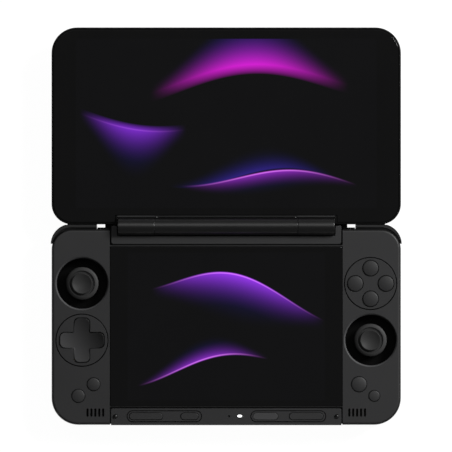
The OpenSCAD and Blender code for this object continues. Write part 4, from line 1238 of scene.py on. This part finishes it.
@dataclass
class StripButton:
    """Long button of the front strip, with round ends.

    Attributes:
        node: The CAD node that it stands for.
        length, width, x, y: Size and middle of the part that shows.
        finish, slot: Its finish and its material slot.
        top, under: Heights of its face and its lower face.
        edge: Width of the rounding along its face.
        flange, flange_t: Width and thickness of the flange beside the part that shows.
    """

    node: str
    length: float
    x: float
    finish: Finish
    slot: Slot = Slot.BUTTON
    top: float = 19.35
    edge: float = 0.9
    y: float = -97.9
    width: float = 3.45
    under: float = 16.1
    flange: float = 0.8
    flange_t: float = 0.9

    def build(self, bench: Bench) -> None:
        """Shapes the long button and its flange from blocks."""
        bm = bmesh.new()
        self._pill(bm, 0, self.under + 0.4, self.top)
        round_rim(bm, self.top, self.edge)
        self._pill(bm, 2 * self.flange, self.under, self.under + self.flange_t)
        moved(bm, self.x, self.y)
        bench.hand_over(bm, self.node + "_cap", self.node, self.finish, self.slot, 50)

    def _pill(self, bm: Shape, more: float, low: float, high: float) -> None:
        """Adds a block with round ends, longer and wider than the button by a length."""
        width = self.width + more
        corners = boxed(bm, self.length + more, width, low, high)
        edges = [edge for edge in bm.edges if corners.issuperset(edge.verts) and is_upright(edge)]
        round_edges(bm, edges, width / 2 - 0.01, 10)


@dataclass
class Controls:
    """Everything on the deck that the player's thumbs touch.

    Attributes:
        face_size: Radius of a face button, and heights of its crown, flange and foot.
        small_size: Heights of a small button's crown, flange and foot.
        small_radii: Name and radius of each small button.
        strip_row: Node, length and X of each plain button of the front strip.
    """

    face_size: tuple[float, float, float, float] = (4.03, DECK_Z + 0.9, 16.2, 15.1)
    small_size: tuple[float, float, float] = (DECK_Z + 0.6, 17.1, 14.8)
    small_radii: tuple[tuple[str, float], ...] = (
        ("left_upper", 3.35),
        ("left_lower", 3.4),
        ("right_upper", 3.95),
        ("right_lower", 2.85),
    )
    strip_row: tuple[tuple[str, float, float], ...] = (
        ("volume_rocker", 17.15, -41.33),
        ("left_strip_button", 9.0, -18.9),
        ("right_strip_button", 17.4, 41.2),
    )

    def build(self, bench: Bench) -> None:
        """Builds both sticks, the cross pad and all push buttons."""
        for side in Side:
            centre = middle_of(f"{side.word}_stick_cap")
            StickWell(side, centre).build(bench)
            ThumbStick(side, centre).build(bench)
        CrossPad(middle_of("dpad")).build(bench)
        face, small = bench.palette.button, bench.palette.small_button
        for name in ("north", "east", "south", "west"):
            RoundButton("face_button_" + name, *self.face_size, face).build(bench)
        for name, radius in self.small_radii:
            RoundButton(name + "_small_button", radius, *self.small_size, small).build(bench)
        for node, length, x in self.strip_row:
            StripButton(node, length, x, small).build(bench)
        sensor = bench.palette.sensor
        reader = StripButton("fingerprint_button", 12.7, 20.25, sensor, Slot.SENSOR, 19.12, 0.12)
        reader.build(bench)


@dataclass
class BaseHalf:
    """The lower half's shells, its middle column and what it holds."""

    def build(self, bench: Bench) -> None:
        """Dresses the base."""
        palette = bench.palette
        bench.dress(palette.shell, "base_bottom_shell")
        bench.soften("deck", palette.deck, Slot.SHELL, 0.2, DECK_Z - 0.3)
        for node in ("dpad_disc", "face_button_disc"):
            bench.soften(node, palette.column, Slot.SHELL, 0.15, DECK_Z - 0.5)
        bench.soften("rear_panel", palette.column, Slot.SHELL, 0.25, DECK_Z - 0.5, 1.2, (-20, -5))
        bench.soften("front_strip", palette.column, Slot.SHELL, 0.2, DECK_Z - 0.6, 1.2, (-94, -93))
        for side in Side:
            bench.soften(f"{side.word}_hinge_knuckle", palette.barrel, Slot.SHELL, 0.3)
        bench.soften("lower_glass", palette.lower_glass, Slot.GLASS, 0.15, corner_r=0.9)
        bench.soften("feet", palette.soft, Slot.SOFT)
        bench.dress(palette.soft, "rest_pads")
        bench.dress(palette.lens, "led_light_pipe")
        bench.dress(palette.display, "lower_display_panel")
        bench.dress(palette.inner, "fan_housing", "fan_rotor", "speakers")
        bench.dress(palette.main_board, "mainboard")
        bench.dress(palette.small_board, "control_boards")
        bench.dress(palette.battery, "battery_pack")
        bench.dress(palette.copper, "heat_sink")
        bench.dress(
            palette.steel,
            *("hinge_cartridges", "case_screws", "shoulder_pins", "usb_port", "dpad_spider"),
            *("left_stick_module", "right_stick_module", "button_domes"),
        )
        for side in Side:
            bench.dress(palette.stem, f"{side.word}_stick_yoke", f"{side.word}_stick_stem")


@dataclass
class LidHalf:
    """The upper half's shell, frame, glass and display."""

    def build(self, bench: Bench) -> None:
        """Dresses the lid."""
        palette = bench.palette
        bench.dress(palette.lid_shell, "lid_back_cover")
        bench.dress(palette.lid_rim, "lid_front_frame")
        bench.soften("lid_hinge_barrel", palette.barrel, Slot.LID_SHELL, 0.3)
        bench.soften("lid_glass", palette.upper_glass, Slot.GLASS, 0.2)
        bench.dress(palette.display, "upper_display_panel")
        bench.dress(palette.steel, "hinge_shafts", "barrel_screws")
        bench.dress(palette.magnet, "lid_magnets")


@dataclass
class ShoulderControls:
    """Bumpers at the rear corners and the triggers under them."""

    def build(self, bench: Bench) -> None:
        """Softens both bumpers and both triggers."""
        for side in Side:
            for part, width in (("bumper", 0.4), ("trigger", 0.5)):
                node = f"{side.word}_{part}"
                bench.soften(node, bench.palette.shoulder, Slot.SHELL, width, segments=3)


@dataclass
class Studio:
    """Plain pale floor, soft light and a camera straight above.

    Attributes:
        picture_width: Width of the camera's picture at the deck, in metres.
        lens: Focal length in millimetres.
        sensor: Width of the sensor in millimetres.
        middle: The picture's middle in the shared frame, in metres.
        floor_r: Radius of the floor, in metres.
        floor_glow: Light of the floor to the camera, where 1 is white.
        lamps: Name, turn, rise, distance, size and power of each lamp.
    """

    picture_width: float = 0.23287
    lens: float = 400.0
    sensor: float = 36.0
    middle: Pair = (-0.00012, 0.00016)
    floor_r: float = 6.0
    floor_glow: float = 0.97
    lamps: tuple[tuple[str, float, float, float, Pair, float], ...] = (
        ("key_lamp", 32, 40, 1.4, (0.45, 0.45), 19.7),
        ("strip_lamp", 90, 69, 1.4, (1.0, 0.65), 1.7),
    )

    def build(self) -> None:
        """Builds the floor, the world, the lamps and the camera."""
        self._floor()
        self._world()
        for lamp in self.lamps:
            self._lamp(*lamp)
        self._camera()
        bpy.context.scene.view_settings.view_transform = "Standard"

    def _camera(self) -> None:
        """Adds the camera, which looks straight down with +Y up in the picture."""
        data = bpy.data.cameras.new("camera")
        data.lens, data.sensor_width = self.lens, self.sensor
        data.clip_start, data.clip_end = 0.1, 20
        camera = placed("camera", data)
        distance = self.picture_width * self.lens / self.sensor
        camera.location = (*self.middle, DECK_Z * MM + distance)
        bpy.context.scene.camera = camera

    def _floor(self) -> None:
        """Adds a wide white floor that keeps the object's shadow."""
        bm = bmesh.new()
        bmesh.ops.create_circle(bm, cap_ends=True, segments=96, radius=self.floor_r)
        floor = placed("floor", mesh_of(bm, "floor"))
        material = bpy.data.materials.new("floor_paper")
        material.use_nodes = True
        web = Web(material.node_tree)
        rays = web.node("ShaderNodeLightPath").outputs
        camera, glossy, through = (
            Signal(web, rays[f"Is {ray} Ray"]) for ray in ("Camera", "Glossy", "Transmission")
        )
        paper = web.mix(web.noise(4, 2), plain(0.11), plain(0.13))
        lit = web.node("ShaderNodeBsdfDiffuse", sockets={"Color": paper})
        strength = (camera + glossy + through).clipped() * self.floor_glow
        glow = web.node("ShaderNodeEmission", sockets={"Color": WHITE, "Strength": strength})
        both = web.node("ShaderNodeAddShader", sockets={0: lit.outputs[0], 1: glow.outputs[0]})
        web.node("ShaderNodeOutputMaterial", sockets={"Surface": both.outputs[0]})
        floor.data.materials.append(material)

    @staticmethod
    def _world() -> None:
        """Adds a room that is pale on the lamp's side, and white where the camera sees it."""
        world = bpy.data.worlds.new("room")
        bpy.context.scene.world = world
        world.use_nodes = True
        web = Web(world.node_tree)
        way = web.node("ShaderNodeTexCoord").outputs["Generated"]
        split = web.node("ShaderNodeSeparateXYZ", sockets={0: way})
        across, along, up = (Signal(web, out) for out in split.outputs)
        lamp_side = ((across * 0.98 + along * 0.2) * 0.5 + 0.5).clipped()
        room = (1 - up.clipped()) ** 2 * (lamp_side * lamp_side * 0.55 - 0.08) + 0.11
        camera = Signal(web, web.node("ShaderNodeLightPath").outputs["Is Camera Ray"])
        strength = camera + (1 - camera) * room
        back = web.node("ShaderNodeBackground", sockets={"Color": WHITE, "Strength": strength})
        web.node("ShaderNodeOutputWorld", sockets={"Surface": back.outputs[0]})

    @staticmethod
    def _lamp(
        name: str, turn: float, rise: float, distance: float, size: Pair, power: float
    ) -> None:
        """Adds a soft light that faces the object.

        Args:
            name: The lamp's name.
            turn: Angle from +X towards +Y, in degrees.
            rise: Height above the horizon, in degrees.
            distance: Distance from the object, in metres.
            size: Width and height of the lamp, in metres.
            power: Its power, in watts.
        """
        data = bpy.data.lights.new(name, "AREA")
        data.shape, data.energy = "RECTANGLE", power
        data.size, data.size_y = size
        turn, rise = math.radians(turn), math.radians(rise)
        level = math.cos(rise)
        toward = Vector((math.cos(turn) * level, math.sin(turn) * level, math.sin(rise)))
        facing = toward.to_track_quat("Z", "Y").to_matrix().to_4x4()
        placed(name, data).matrix_world = Matrix.Translation(toward * distance) @ facing


def main() -> None:
    """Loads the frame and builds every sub-assembly."""
    logging.basicConfig(level=logging.INFO, format="%(message)s")
    bench = Bench(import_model())
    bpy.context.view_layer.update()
    Studio().build()
    for assembly in (BaseHalf(), LidHalf(), ShoulderControls(), Controls()):
        assembly.build(bench)


if __name__ == "__main__":
    main()
